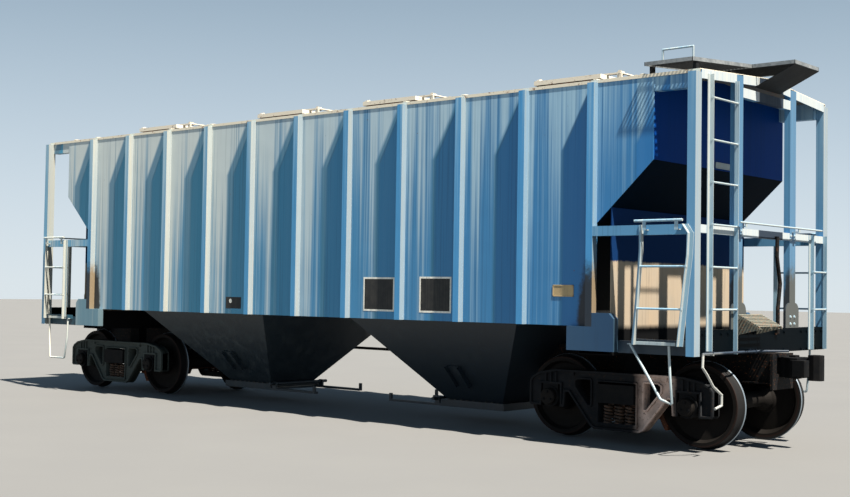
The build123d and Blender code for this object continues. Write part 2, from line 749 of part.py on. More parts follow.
# Running board along the roof's centre line, out past both ends
def running_board():
    board = block(-WALK_END_X, WALK_END_X, -WALK_WIDTH / 2, WALK_WIDTH / 2, WALK_TOP - WALK_THICK, WALK_TOP)
    return [board]


# End platforms: cross walks from the running board to the tall ladders' corners
def end_platforms():
    inner = WALK_WIDTH / 2
    outline = [
        (-POST_FACE_Y, PLATFORM_OUTER_TOP), (-inner, WALK_TOP), (-inner, WALK_TOP - WALK_THICK),
        (-POST_FACE_Y, PLATFORM_OUTER_TOP - WALK_THICK),
    ]
    platform = plate_yz(outline, PLATFORM_X0, PLATFORM_X1)
    return [at_end(platform, end) for end in (1, -1)]


# Walkway brackets: saddles on the roof and sloped plates under the overhanging ends
def walkway_brackets():
    brackets = []
    half = WALK_WIDTH / 2
    low = WALK_TOP - WALK_THICK
    for i in range(SADDLE_COUNT):
        x = (i - (SADDLE_COUNT - 1) / 2) * SADDLE_PITCH
        saddle = plate_yz([(-half, roof_height(half)), (0, roof_height(0)), (half, roof_height(half)),
                           (half, low), (-half, low)], x - 20, x + 20)
        brackets.append(saddle)
    foot = EAVE - 2
    sloped = plate_xz([(END_FACE_X, foot + 10), (END_FACE_X, foot), (WALK_END_X, low - 8), (WALK_END_X, low)],
                      -half, half)
    brackets += [sloped, mirror_x(sloped)]
    for x in (PLATFORM_X0 + 30, PLATFORM_X1 - 30):
        outer = EAVE_HALF - 10
        inner = EAVE_HALF - 60
        leg = plate_yz([(-outer, roof_height(outer)), (-inner, roof_height(inner)),
                        (-inner, platform_under(inner)), (-outer, platform_under(outer))], x - 20, x + 20)
        brackets += [leg, at_end(leg, -1)]
    return brackets


def platform_under(y):
    """Underside of the cross walk at a distance y from the centre line."""
    inner = WALK_WIDTH / 2
    share = (y - inner) / (POST_FACE_Y - inner)
    return WALK_TOP - WALK_THICK - share * (WALK_TOP - PLATFORM_OUTER_TOP)


def platform_top(y):
    """Top of the cross walk at a distance y from the centre line."""
    return platform_under(y) + WALK_THICK


def rung_heights(top):
    heights = []
    z = TOP_RUNG
    while z > LADDER_FOOT + STEP_FOOT_DEPTH:
        if z < top:
            heights.append(z)
        z = z - RUNG_PITCH
    return heights


# End ladders: a tall pair of angle stiles at the walkway corner and a short pair at the other corner
def end_ladders():
    stiles = []
    tall = (EAVE, -1, END_LADDER_Y0, END_LADDER_Y1)
    short = (MID_BEAM_TOP, 1, SHORT_LADDER_Y0, SHORT_LADDER_Y1)
    for top, side, inner, outer in (tall, short):
        for y, out in ((inner, -1), (outer, 1)):
            edge = side * y
            spread = side * (y + out * STILE_FLANGE)
            face = side * (y + out * STILE)
            section = [
                (END_FACE_X, edge), (END_FACE_X + LADDER_DEPTH, edge), (END_FACE_X + LADDER_DEPTH, face),
                (END_FACE_X + STILE, face), (END_FACE_X + STILE, spread), (END_FACE_X, spread),
            ]
            stile = upright(section, LADDER_FOOT - END_STILE_DROP, top)
            stiles += [at_end(stile, end) for end in (1, -1)]
    return stiles


def upright(section, z0, z1):
    """Flat outline of (x, y) points, solid from z0 to z1."""
    return extrude(Pos(0, 0, z0) * make_face(Polyline(*section, close=True)), amount=z1 - z0)


# Side ladders: short pairs of angle stiles beside each corner, from the mid beam to the sill
def side_ladders():
    shapes = []
    y0 = -POST_FACE_Y - LADDER_DEPTH
    for x, out, bend in ((SIDE_LADDER_X0, -1, BENT_STILE_0), (SIDE_LADDER_X1, 1, BENT_STILE_1)):
        section = [
            (x, -POST_FACE_Y), (x, y0), (x + out * STILE, y0), (x + out * STILE, -POST_FACE_Y - STILE),
            (x + out * STILE_FLANGE, -POST_FACE_Y - STILE), (x + out * STILE_FLANGE, -POST_FACE_Y),
        ]
        stile = upright(section, LADDER_FOOT, MID_BEAM_TOP)
        shapes += [mirror_y(stile), mirror_x(stile), mirror_x(mirror_y(stile))]
        shapes.append(bent_stile(x, out, bend))
    return shapes


def bent_stile(x, out, bend):
    """Angle stile that leans by the bend: a flange on the post's face line and a leg standing out."""
    near = [(x + lean, z) for lean, z in bend]
    leg = near + [(x + out * STILE + lean, z) for lean, z in reversed(bend)]
    flange = near + [(x + out * STILE_FLANGE + lean, z) for lean, z in reversed(bend)]
    return plate_xz(flange, -POST_FACE_Y - STILE, -POST_FACE_Y) + plate_xz(
        leg, -POST_FACE_Y - LADDER_DEPTH, -POST_FACE_Y
    )


def lean_at(bend, z):
    """How far a bent stile leans at height z."""
    for (lean_0, z_0), (lean_1, z_1) in zip(bend, bend[1:]):
        if z_0 <= z <= z_1:
            return lean_0 + (lean_1 - lean_0) * (z - z_0) / (z_1 - z_0)
    return bend[-1][0]


# Ladder rungs: round bars between the stiles' faces
def ladder_rungs():
    rungs = []
    x = END_FACE_X + LADDER_DEPTH - RUNG_SET
    tall = (EAVE, -1, END_LADDER_Y0, END_LADDER_Y1)
    short = (MID_BEAM_TOP, 1, SHORT_LADDER_Y0, SHORT_LADDER_Y1)
    for top, side, inner, outer in (tall, short):
        for z in rung_heights(top):
            rung = rod((x, side * inner, z), (x, side * outer, z), RUNG_R)
            rungs += [at_end(rung, end) for end in (1, -1)]
    y = -POST_FACE_Y - LADDER_DEPTH + RUNG_SET
    for z in rung_heights(MID_BEAM_TOP):
        rung = rod((SIDE_LADDER_X0, y, z), (SIDE_LADDER_X1, y, z), RUNG_R)
        rungs += [mirror_y(rung), mirror_x(rung), mirror_x(mirror_y(rung))]
        x0 = SIDE_LADDER_X0 + max(lean_at(BENT_STILE_0, z - RUNG_R), lean_at(BENT_STILE_0, z + RUNG_R))
        x1 = SIDE_LADDER_X1 + min(lean_at(BENT_STILE_1, z - RUNG_R), lean_at(BENT_STILE_1, z + RUNG_R))
        rungs.append(rod((x0, y, z), (x1, y, z), RUNG_R))
    return rungs


# Sill steps: U-shaped stirrups below the side ladders
def sill_steps():
    y = -POST_FACE_Y + 20
    top = LADDER_FOOT
    bottom = RAIL + 495
    points = [(STEP_X0 + 20, y, top), (END_FACE_X - 640, y, bottom), (END_FACE_X - 245, y, bottom),
              (END_FACE_X - 205, y, top)]
    radius = 14
    step = bar_chain(points, radius)
    step = step - block(STEP_X0 - radius, SIDE_LADDER_X1, y - radius, y + radius, top, top + radius)
    shapes = []
    for shape in (step, mirror_x(step)):
        shapes += [shape, mirror_y(shape)]
    return shapes


# Couplers: shank and head, swinging about a pin inside the draft sill
def coupler():
    z0 = COUPLER_Z - SHANK_HALF_Z
    z1 = COUPLER_Z + SHANK_HALF_Z
    shank = block(COUPLER_PIN_X - 60, STRIKER_X + 60, -SHANK_HALF_Y, SHANK_HALF_Y, z0, z1)
    head_plan = [
        (STRIKER_X + 60, -80), (STRIKER_X + 150, -190), (COUPLER_FACE_X - 70, -215),
        (COUPLER_FACE_X - 60, -120), (COUPLER_FACE_X - 180, -30), (COUPLER_FACE_X - 160, 60),
        (COUPLER_FACE_X, 40), (COUPLER_FACE_X, 130), (COUPLER_FACE_X - 120, 190),
        (STRIKER_X + 150, 150), (STRIKER_X + 60, 80),
    ]
    head = extrude(Pos(0, 0, COUPLER_Z - 140) * make_face(Polyline(*head_plan, close=True)), amount=280)
    body = shank + head
    pin_hole = Pos(COUPLER_PIN_X, 0, COUPLER_Z) * Cylinder(COUPLER_PIN_R + PIN_CLEARANCE, 400)
    return body - pin_hole


# Uncoupling levers: rods from above the couplers to a hanging handle at the corner
def uncoupling_levers():
    z = DECK_Z + 30
    x = END_FACE_X + LADDER_DEPTH + 30
    radius = 13
    lever = bar_chain(
        [(STRIKER_X + 90, -60, z), (x + 60, -260, z), (x, -400, z), (x, -1580, z), (x + 5, -1600, z - 136),
         (x + 10, -1516, z - 209), (x + 20, -1400, z - 336), (x + 30, -1240, z - 427),
         (x + 30, -1240, z - 536), (x + 30, -1380, z - 563)], radius
    )
    for y in (-430, -1390):
        lever = lever + block(END_FACE_X, x + radius + 6, y - 6, y + 6, z - radius - 8, z + radius + 8)
    return [at_end(lever, end) for end in (1, -1)]


# Grab irons: the long rail across each end, the top bars of the side ladders and the roof corner hoops
def end_rail():
    z = MID_BEAM_TOP + 55
    x = END_FACE_X + GRAB_STAND + 20
    rail = rod((x, -END_LADDER_Y0 - 20, z), (x, END_LADDER_Y1 - 50, z), GRAB_R)
    for y in (-END_POST_Y, END_POST_Y):
        rail = rail + block(END_FACE_X, x, y - 20, y + 20, z - 45, z - 35)
        rail = rail + block(x - 5, x + 5, y - 20, y + 20, z - 45, z)
    return rail


def side_bar(inset=40):
    """Top bar of a side ladder; inset is how far its rear bracket stands inside the rear stile."""
    z = MID_BEAM_TOP + 40
    y = -POST_FACE_Y - GRAB_STAND
    bar = rod((SIDE_LADDER_X0 - 30, y, z), (SIDE_LADDER_X1 + 30, y, z), GRAB_R + 3)
    for x in (SIDE_LADDER_X0 + inset, SIDE_LADDER_X1 - 40):
        bar = bar + block(x - 20, x + 20, y - 5, y + 5, MID_BEAM_TOP - 60, z)
        bar = bar + block(x - 20, x + 20, y + 5, -POST_FACE_Y, MID_BEAM_TOP - 60, MID_BEAM_TOP - 50)
    return bar


def roof_hoop():
    x = (PLATFORM_X0 + PLATFORM_X1) / 2
    y = POST_FACE_Y - 200
    foot = platform_top(y - GRAB_R)
    top = PLATFORM_OUTER_TOP + 150
    near = x - 180
    far = x + 180
    return bar_chain([(near, -y, foot), (near, -y, top), (far, -y, top), (far, -y, foot)], GRAB_R)


def grab_irons():
    shapes = []
    for end in (1, -1):
        shapes += [at_end(end_rail(), end), at_end(roof_hoop(), end)]
        shapes.append(mirror_y(at_end(side_bar(), end)))
    shapes += [at_end(side_bar(), -1), side_bar(2 * BENT_STILE_0[-1][0])]
    return shapes


# Brake steps: slatted treads on two arms in front of each end, tilted down outward
def brake_step():
    x0 = END_FACE_X + 25
    x1 = x0 + STEP_REACH
    y1 = STEP_Y0 + STEP_TREAD
    fall = STEP_FALL * STEP_REACH
    foot = STEP_HEAD_Z - fall
    tread = plate_xz([(x0, STEP_HEAD_Z), (x1, foot), (x1, foot - 30), (x0, STEP_HEAD_Z - 30)], STEP_Y0, y1)
    for y in (STEP_Y0 + 60, y1 - 60):
        arm = plate_xz([(END_FACE_X, STEP_LEG_Z - 100), (END_FACE_X, STEP_LEG_Z), (x0, STEP_HEAD_Z - 30),
                        (x1, STEP_HEAD_Z - fall - 30)], y - 5, y + 5)
        tread = tread + arm
    return tread


def brake_steps():
    return [at_end(brake_step(), end) for end in (1, -1)]


# Hand brake at the rear end: gear housing on an end post, hand wheel, and the rod down to the end sill
def hand_brake():
    y = -BRAKE_WHEEL_Y
    z = BRAKE_WHEEL_Z
    housing = block(END_FACE_X, END_FACE_X + 120, y - 150, y + 110, z - 170, z + 170)
    shaft = rod((END_FACE_X, y, z), (BRAKE_WHEEL_X + 20, y, z), 22)
    rim = Pos(BRAKE_WHEEL_X, y, z) * Rot(0, 90, 0) * Torus(BRAKE_WHEEL_R - 13, 13)
    wheel = shaft + rim
    for turn in (45, 135):
        dy = (BRAKE_WHEEL_R - 13) * math.cos(math.radians(turn))
        dz = (BRAKE_WHEEL_R - 13) * math.sin(math.radians(turn))
        wheel = wheel + rod((BRAKE_WHEEL_X, y - dy, z - dz), (BRAKE_WHEEL_X, y + dy, z + dz), 9)
    pull = rod((END_FACE_X + 12, y, END_SILL_TOP - 40), (END_FACE_X + 12, y, z - 165), 8)
    clip = block(END_FACE_X, END_FACE_X + 12, y - 20, y + 20, END_SILL_TOP - 60, END_SILL_TOP - 30)
    return [at_end(housing + wheel + pull + clip, -1)]


# Air brake gear on the rear deck: reservoir on two saddles, brake cylinder, and the control valve
def air_reservoir():
    deck = DECK_Z + DECK_PLATE
    z = deck + RESERVOIR_R + 40
    y0 = -1330
    y1 = y0 + RESERVOIR_LENGTH
    tank = rod((RESERVOIR_X, y0 + 60, z), (RESERVOIR_X, y1 - 60, z), RESERVOIR_R)
    for y, nose in ((y0 + 60, y0), (y1 - 60, y1)):
        base = Plane(origin=(RESERVOIR_X, y, z), z_dir=(0, nose - y, 0))
        tank = tank + Solid.make_cone(RESERVOIR_R, RESERVOIR_R * 0.7, 60, base)
    for y in (y0 + 250, y1 - 250):
        tank = tank + block(RESERVOIR_X - 150, RESERVOIR_X + 150, y - 20, y + 20, deck, z)
    return at_end(tank, -1)


def brake_cylinder():
    deck = DECK_Z + DECK_PLATE
    z = deck + CYLINDER_R + 40
    x = RESERVOIR_X
    y0 = 560
    body = rod((x, y0, z), (x, y0 + CYLINDER_LENGTH, z), CYLINDER_R)
    body = body + rod((x, y0 - 10, z), (x, y0 + 20, z), CYLINDER_R + 22)
    body = body + rod((x, y0 - 260, z), (x, y0, z), 26)
    body = body + block(x - 120, x + 120, y0 + 80, y0 + CYLINDER_LENGTH - 60, deck, z)
    return at_end(body, -1)


def control_valve():
    deck = DECK_Z + DECK_PLATE
    x = RESERVOIR_X + 360
    y = -300
    body = block(x - 90, x + 90, y - 70, y + 70, deck, deck + 300)
    body = body + rod((x, y - 190, deck + 190), (x, y + 190, deck + 190), 85)
    return at_end(body, -1)


# Brake pipes: the train line under the side and over each truck, with its end cocks, and a vent pipe
def brake_pipes():
    cock_x = END_FACE_X + 150
    half = bar_chain(
        [(0, PIPE_Y, PIPE_LOW), (3150, PIPE_Y, PIPE_LOW), (3450, PIPE_Y, PIPE_HIGH),
         (PIPE_CROSS_X, PIPE_Y, PIPE_HIGH), (PIPE_CROSS_X, PIPE_INNER_Y, PIPE_HIGH),
         (END_FACE_X + 60, PIPE_INNER_Y, PIPE_HIGH), (cock_x, PIPE_INNER_Y + 20, PIPE_HIGH - 110)], PIPE_R
    )
    cock_foot = (cock_x + 50, PIPE_INNER_Y + 20, PIPE_HIGH - 170)
    cock = rod((cock_x, PIPE_INNER_Y + 20, PIPE_HIGH - 110), cock_foot, 36)
    half = half + cock
    middle = (OUTLET_X0 + OUTLET_X1) / 2
    y0 = PIPE_Y - 20
    y1 = PIPE_Y + 20
    hanger = [(y0, PIPE_LOW), (y1, PIPE_LOW), (y1, bay_side_z(y1)), (y0, bay_side_z(y0))]
    half = half + plate_yz(hanger, middle - 4, middle + 4)
    y0 = PIPE_INNER_Y - 20
    y1 = PIPE_INNER_Y + 20
    half = half + block(TRUCK_X - 4, TRUCK_X + 4, y0, y1, PIPE_HIGH, BOLSTER_BOTTOM)
    vent_x = END_FACE_X + 24
    low = MID_BEAM_TOP - MID_BEAM_DEPTH
    vent = bar_chain(
        [(vent_x, 215, low + 40), (vent_x, 205, low - 180), (vent_x, 290, low - 480),
         (vent_x, 235, low - 760), (vent_x, 235, END_SILL_TOP - 60)], 22
    )
    for z in (low + 40, END_SILL_TOP - 60):
        vent = vent + block(END_FACE_X, vent_x, 195, 255, z - 12, z + 12)
    return [half + mirror_x(half), vent]


def bay_side_z(y):
    """Height of a bay's outside at half width y."""
    return BAY_BOTTOM + (y - OUTLET_HALF_Y) * (BAY_TOP - BAY_BOTTOM) / (INNER_Y - OUTLET_HALF_Y)


# Wheelset: axle, two wheels and the bearing end caps, one turned solid
def wheelset(x):
    half = [
        (0, 0), (90, 0), (90, 560), (110, 600), (140, 640), (140, 700), (165, 720), (370, 735), (415, 690),
        (FLANGE_R - 70, WHEEL_BACK_Y), (FLANGE_R - 8, WHEEL_BACK_Y), (FLANGE_R, WHEEL_BACK_Y + 10),
        (FLANGE_R - 2, WHEEL_BACK_Y + 22), (WHEEL_R + 3, WHEEL_BACK_Y + 38), (WHEEL_R, WHEEL_BACK_Y + 48),
        (WHEEL_R - 5, WHEEL_RIM_Y - 6), (WHEEL_R - 11, WHEEL_RIM_Y), (400, WHEEL_RIM_Y), (392, 800),
        (372, 765), (170, 752), (148, 850), (140, 856), (105, 860), (105, 900), (JOURNAL_R, 905),
        (JOURNAL_R, JOURNAL_Y + BEARING_HALF + 4), (CAP_R, JOURNAL_Y + BEARING_HALF + 4),
        (CAP_R, CAP_END_Y - 12), (CAP_R - 12, CAP_END_Y), (0, CAP_END_Y),
    ]
    face = make_face(Polyline(*[(r, y) for r, y in half], close=True))
    turned = revolve(face, axis=Axis.Y, revolution_arc=360)
    whole = turned + mirror(turned, about=Plane.XZ)
    return Pos(x, 0, AXLE_Z) * whole


# Bearings: cups round the journals with the adapter blocks above them
def bearings(x):
    shapes = []
    for dx in (-WHEELBASE / 2, WHEELBASE / 2):
        for side in (-1, 1):
            y0 = side * JOURNAL_Y - BEARING_HALF
            y1 = side * JOURNAL_Y + BEARING_HALF
            centre = x + dx
            cup = rod((centre, y0, AXLE_Z), (centre, y1, AXLE_Z), BEARING_R)
            adapter_z = AXLE_Z + BEARING_R + 22
            cup = cup + block(centre - 105, centre + 105, y0 + 15, y1 - 15, AXLE_Z + 60, adapter_z)
            cup = cup - rod((centre, y0, AXLE_Z), (centre, y1, AXLE_Z), JOURNAL_R + JOURNAL_GAP)
            shapes.append(cup)
    return shapes


# Side frames: cast trusses over the bearings, with openings for the springs and beside each pedestal
def side_frames(x):
    jaw = 130
    wheel = WHEELBASE / 2
    jaw_top = AXLE_Z + BEARING_R + 22
    jaw_foot = AXLE_Z - 110
    neck = jaw_top - 82
    half = [
        (0, FRAME_TOP), (WINDOW_HALF + 560, FRAME_TOP), (wheel + 160, FRAME_TOP - 40),
        (FRAME_HALF_X, FRAME_TOP - 130), (FRAME_HALF_X, jaw_foot), (wheel + jaw, jaw_foot),
        (wheel + jaw, jaw_top), (wheel - jaw, jaw_top), (wheel - jaw, jaw_foot),
        (wheel - jaw - 60, jaw_foot), (wheel - jaw - 70, neck), (wheel - jaw - 120, neck),
        (WINDOW_HALF + 83, FRAME_BOTTOM + 30), (WINDOW_HALF + 28, FRAME_BOTTOM), (0, FRAME_BOTTOM),
    ]
    outline = [(x + px, pz) for px, pz in half] + [(x - px, pz) for px, pz in reversed(half[1:-1])]
    frame = plate_xz(outline, -JOURNAL_Y - FRAME_HALF_Y, -JOURNAL_Y + FRAME_HALF_Y)
    frame = frame - block(
        x - WINDOW_HALF, x + WINDOW_HALF, -JOURNAL_Y - 200, -JOURNAL_Y + 200, SEAT_Z, FRAME_TOP - 95
    )
    near = WINDOW_HALF + 63
    eye_top = FRAME_TOP - 80
    eye = [
        (near, eye_top), (near + 200, eye_top), (near + 250, eye_top - 35), (near + 245, eye_top - 110),
        (near + 65, eye_top - 320), (near, eye_top - 320),
    ]
    for side in (-1, 1):
        window = [(x + side * px, pz) for px, pz in eye]
        frame = frame - plate_xz(window, -JOURNAL_Y - 200, -JOURNAL_Y + 200)
    return [frame, mirror_y(frame)]


# Truck bolster: box beam between the side frames with the centre bowl and side bearings on top
def truck_bolster(x):
    end_low = SPRING_TOP
    end_top = SPRING_TOP + 210
    half = [
        (0, RAIL + 400), (420, RAIL + 400), (800, end_low), (1110, end_low), (1110, end_top), (840, end_top),
        (700, TRUCK_BOLSTER_TOP - 44), (0, TRUCK_BOLSTER_TOP - 44),
    ]
    outline = half + [(-y, z) for y, z in reversed(half[1:-1])]
    beam = plate_yz(outline, x - WINDOW_HALF + 22, x + WINDOW_HALF - 22)
    bowl = Pos(x, 0, TRUCK_BOLSTER_TOP - 22) * Cylinder(CENTRE_PLATE_R + 26, 44)
    beam = beam + bowl
    well = Pos(x, 0, (BOWL_FLOOR + TRUCK_BOLSTER_TOP) / 2) * Cylinder(
        CENTRE_PLATE_R + 3, TRUCK_BOLSTER_TOP - BOWL_FLOOR
    )
    beam = beam - well
    for side in (-1, 1):
        y = side * SIDE_BEARING_Y
        beam = beam + block(x - 90, x + 90, y - 60, y + 60, TRUCK_BOLSTER_TOP - 60, TRUCK_BOLSTER_TOP + 80)
    return [beam]


# Spring nests: coils between the side frame seats and the bolster ends
def springs(x):
    coils = []
    for side in (-1, 1):
        for row in (-1, 0, 1):
            centre_x = x + row * SPRING_PITCH
            foot = (centre_x, side * JOURNAL_Y, SEAT_Z)
            top = (centre_x, side * JOURNAL_Y, SPRING_TOP)
            coils.append(rod(foot, top, SPRING_R))
    return coils


# Brake beams: triangular trusses with a shoe at each wheel
def brake_beams(x):
    beams = []
    for sx in (-1, 1):
        bx = x + sx * (WHEELBASE / 2 - 560)
        z = RAIL + 330
        guide_y = JOURNAL_Y - FRAME_HALF_Y
        beam = rod((bx, -guide_y, z), (bx, guide_y, z), 32)
        for side in (-1, 1):
            y = side * 760
            inner = WHEEL_R + 12
            outer = inner + 55
            axle_x = x + sx * WHEELBASE / 2
            shoe = rod((axle_x, y - 45, AXLE_Z), (axle_x, y + 45, AXLE_Z), outer)
            shoe = shoe - rod((axle_x, y - 50, AXLE_Z), (axle_x, y + 50, AXLE_Z), inner)
            keep = block(
                x + sx * (WHEELBASE / 2 - outer - 10), x + sx * (WHEELBASE / 2 - 400), y - 50, y + 50,
                AXLE_Z - 300, AXLE_Z + 20,
            )
            shoe = shoe & keep
            head = block(min(bx, bx + sx * 100), max(bx, bx + sx * 100), y - 40, y + 40, z - 60, z + 60)
            clear = rod((axle_x, y - 50, AXLE_Z), (axle_x, y + 50, AXLE_Z), inner + 20)
            beam = beam + shoe + (head - clear)
        beams.append(beam)
    return beams


def build():
    os.makedirs("parts", exist_ok=True)
    save("side_sheets", side_sheets())
    save("side_posts", side_posts())
    save("top_chords", top_chords())
    save("roof", roof())
    save("roof_panels", roof_panels())
    save("hatch_coamings", hatch_coamings())
    save("hatch_hinges", hatch_hinges())
    for side, letter in ((-1, "r"), (1, "l")):
        for number, x in enumerate(reversed(HATCH_XS), start=1):
            save(f"hatch_lid_{letter}{number}", [hatch_lid(x, side)])
    save("end_walls", end_walls())
    save("slope_sheets", slope_sheets())
    save("centre_ridge", centre_ridge())
    save("hopper_bays", hopper_bays())
    save("outlet_frames", outlet_frames())
    save("outlet_gate_a", [outlet_gate()])
    save("outlet_gate_b", [mirror_x(outlet_gate())])
    save("side_sills", side_sills())
    save("body_bolsters", body_bolsters())
    save("jacking_pads", jacking_pads())
    save("draft_sills", draft_sills())
    save("end_decks", end_decks())
    save("end_sills", end_sills())
    save("corner_posts", corner_posts())
    save("end_posts", end_posts())
    save("end_beams", end_beams())
    save("running_board", running_board())
    save("end_platforms", end_platforms())
    save("walkway_brackets", walkway_brackets())
    save("end_ladders", end_ladders())
    save("side_ladders", side_ladders())
    save("ladder_rungs", ladder_rungs())
    save("sill_steps", sill_steps())
    save("uncoupling_levers", uncoupling_levers())
    save("grab_irons", grab_irons())
    save("brake_steps", brake_steps())
    save("hand_brake", hand_brake())
    save("air_brake_gear", [air_reservoir(), brake_cylinder(), control_valve()])
    save("brake_pipes", brake_pipes())
    save("coupler_a", [coupler()])
    save("coupler_b", [at_end(coupler(), -1)])
    for letter, x in (("a", TRUCK_X), ("b", -TRUCK_X)):
        save(f"side_frames_{letter}", side_frames(x))
        save(f"truck_bolster_{letter}", truck_bolster(x))
        save(f"springs_{letter}", springs(x))
        save(f"bearings_{letter}", bearings(x))
        save(f"brake_beams_{letter}", brake_beams(x))
        save(f"wheelset_{letter}1", [wheelset(x + WHEELBASE / 2)])
        save(f"wheelset_{letter}2", [wheelset(x - WHEELBASE / 2)])


build()
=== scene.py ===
"""Looks of the covered hopper car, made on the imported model. Metres, +X forward, +Z up, right side at -Y."""
import math

import bmesh
import bpy
from mathutils import Matrix, Vector


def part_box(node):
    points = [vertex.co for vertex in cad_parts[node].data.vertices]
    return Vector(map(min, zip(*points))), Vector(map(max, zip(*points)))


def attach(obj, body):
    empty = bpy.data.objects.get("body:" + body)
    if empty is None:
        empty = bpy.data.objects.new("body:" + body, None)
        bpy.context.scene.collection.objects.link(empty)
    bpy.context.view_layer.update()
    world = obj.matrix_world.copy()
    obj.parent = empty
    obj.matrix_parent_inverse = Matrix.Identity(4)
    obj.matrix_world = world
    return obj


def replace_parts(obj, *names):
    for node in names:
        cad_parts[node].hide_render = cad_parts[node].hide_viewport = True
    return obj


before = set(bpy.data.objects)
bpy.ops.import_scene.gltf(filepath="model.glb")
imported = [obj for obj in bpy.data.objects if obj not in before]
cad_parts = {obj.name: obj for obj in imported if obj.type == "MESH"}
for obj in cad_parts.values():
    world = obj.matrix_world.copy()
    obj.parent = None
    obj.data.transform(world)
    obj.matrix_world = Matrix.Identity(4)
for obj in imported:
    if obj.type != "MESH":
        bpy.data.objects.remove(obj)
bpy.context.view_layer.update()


# Side sheets and posts: 6 mm steel sheets, with pressed channel posts welded on outside every 930 mm.
# Sprayed in blue alkyd enamel that has chalked in the sun: it is paler to the rear and at the top, rain has
# drawn it into upright runs, and the last posts blacken at the foot. Behind each post a bluer strip shaped
# like the post's cast shadow is painted shade; the posts' faces towards the ends are partly chalk, partly
# painted light.
POST_PITCH = 0.93
SHEET_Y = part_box("side_sheets")[1][1]
POST_FACE_Y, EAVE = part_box("side_posts")[1][1:]


def linear(code):
    """Turns an sRGB hex colour into linear red, green, blue and alpha."""
    shares = [int(code[i:i + 2], 16) / 255 for i in (1, 3, 5)]
    return tuple(s / 12.92 if s <= 0.04045 else ((s + 0.055) / 1.055) ** 2.4 for s in shares) + (1.0,)


def feed(node, inputs):
    """Gives inputs of a node their values, or the sockets that feed them."""
    for key, value in inputs.items():
        if isinstance(value, bpy.types.NodeSocket):
            node.id_data.links.new(value, node.inputs[key])
        else:
            node.inputs[key].default_value = value


def add(tree, kind, inputs=None, out=0, **settings):
    """Adds one node with its settings, values and links, and returns an output of it if it has any."""
    made = tree.nodes.new(kind)
    for name, value in settings.items():
        setattr(made, name, value)
    feed(made, inputs or {})
    return made.outputs[out] if made.outputs else None


def surface(name, roughness=0.6, metallic=0.0, ior=1.5):
    """Starts a material: its tree, its shader and the object's own coordinates."""
    made = bpy.data.materials.new(name)
    made.use_nodes = True
    tree = made.node_tree
    shader = tree.nodes["Principled BSDF"]
    feed(shader, {"Roughness": roughness, "Metallic": metallic, "IOR": ior})
    place = add(tree, "ShaderNodeTexCoord", out="Object")
    return made, tree, shader, place


def laid_over(tree, under, upper, measure, start=0.0, end=1.0, most=1.0):
    """Lays one colour over another: none of it where the measure is at start, its most at end."""
    share = add(tree, "ShaderNodeMapRange",
                {"Value": measure, "From Min": start, "From Max": end, "To Max": most})
    return add(tree, "ShaderNodeMix", {"Factor": share, "A": under, "B": upper}, "Result", data_type="RGBA")


def streaks(tree, place, stretch, detail):
    """A cloud drawn out into runs or scratches, long where the stretch is small."""
    drawn = add(tree, "ShaderNodeVectorMath", {0: place, 1: stretch}, operation="MULTIPLY")
    return add(tree, "ShaderNodeTexNoise", {"Vector": drawn, "Scale": 1.0, "Detail": detail})


def facing(tree, axis):
    """How far each face looks along an axis: 1 straight along it, -1 straight back."""
    normal = add(tree, "ShaderNodeTexCoord", out="Normal")
    return add(tree, "ShaderNodeSeparateXYZ", {0: normal}, axis)


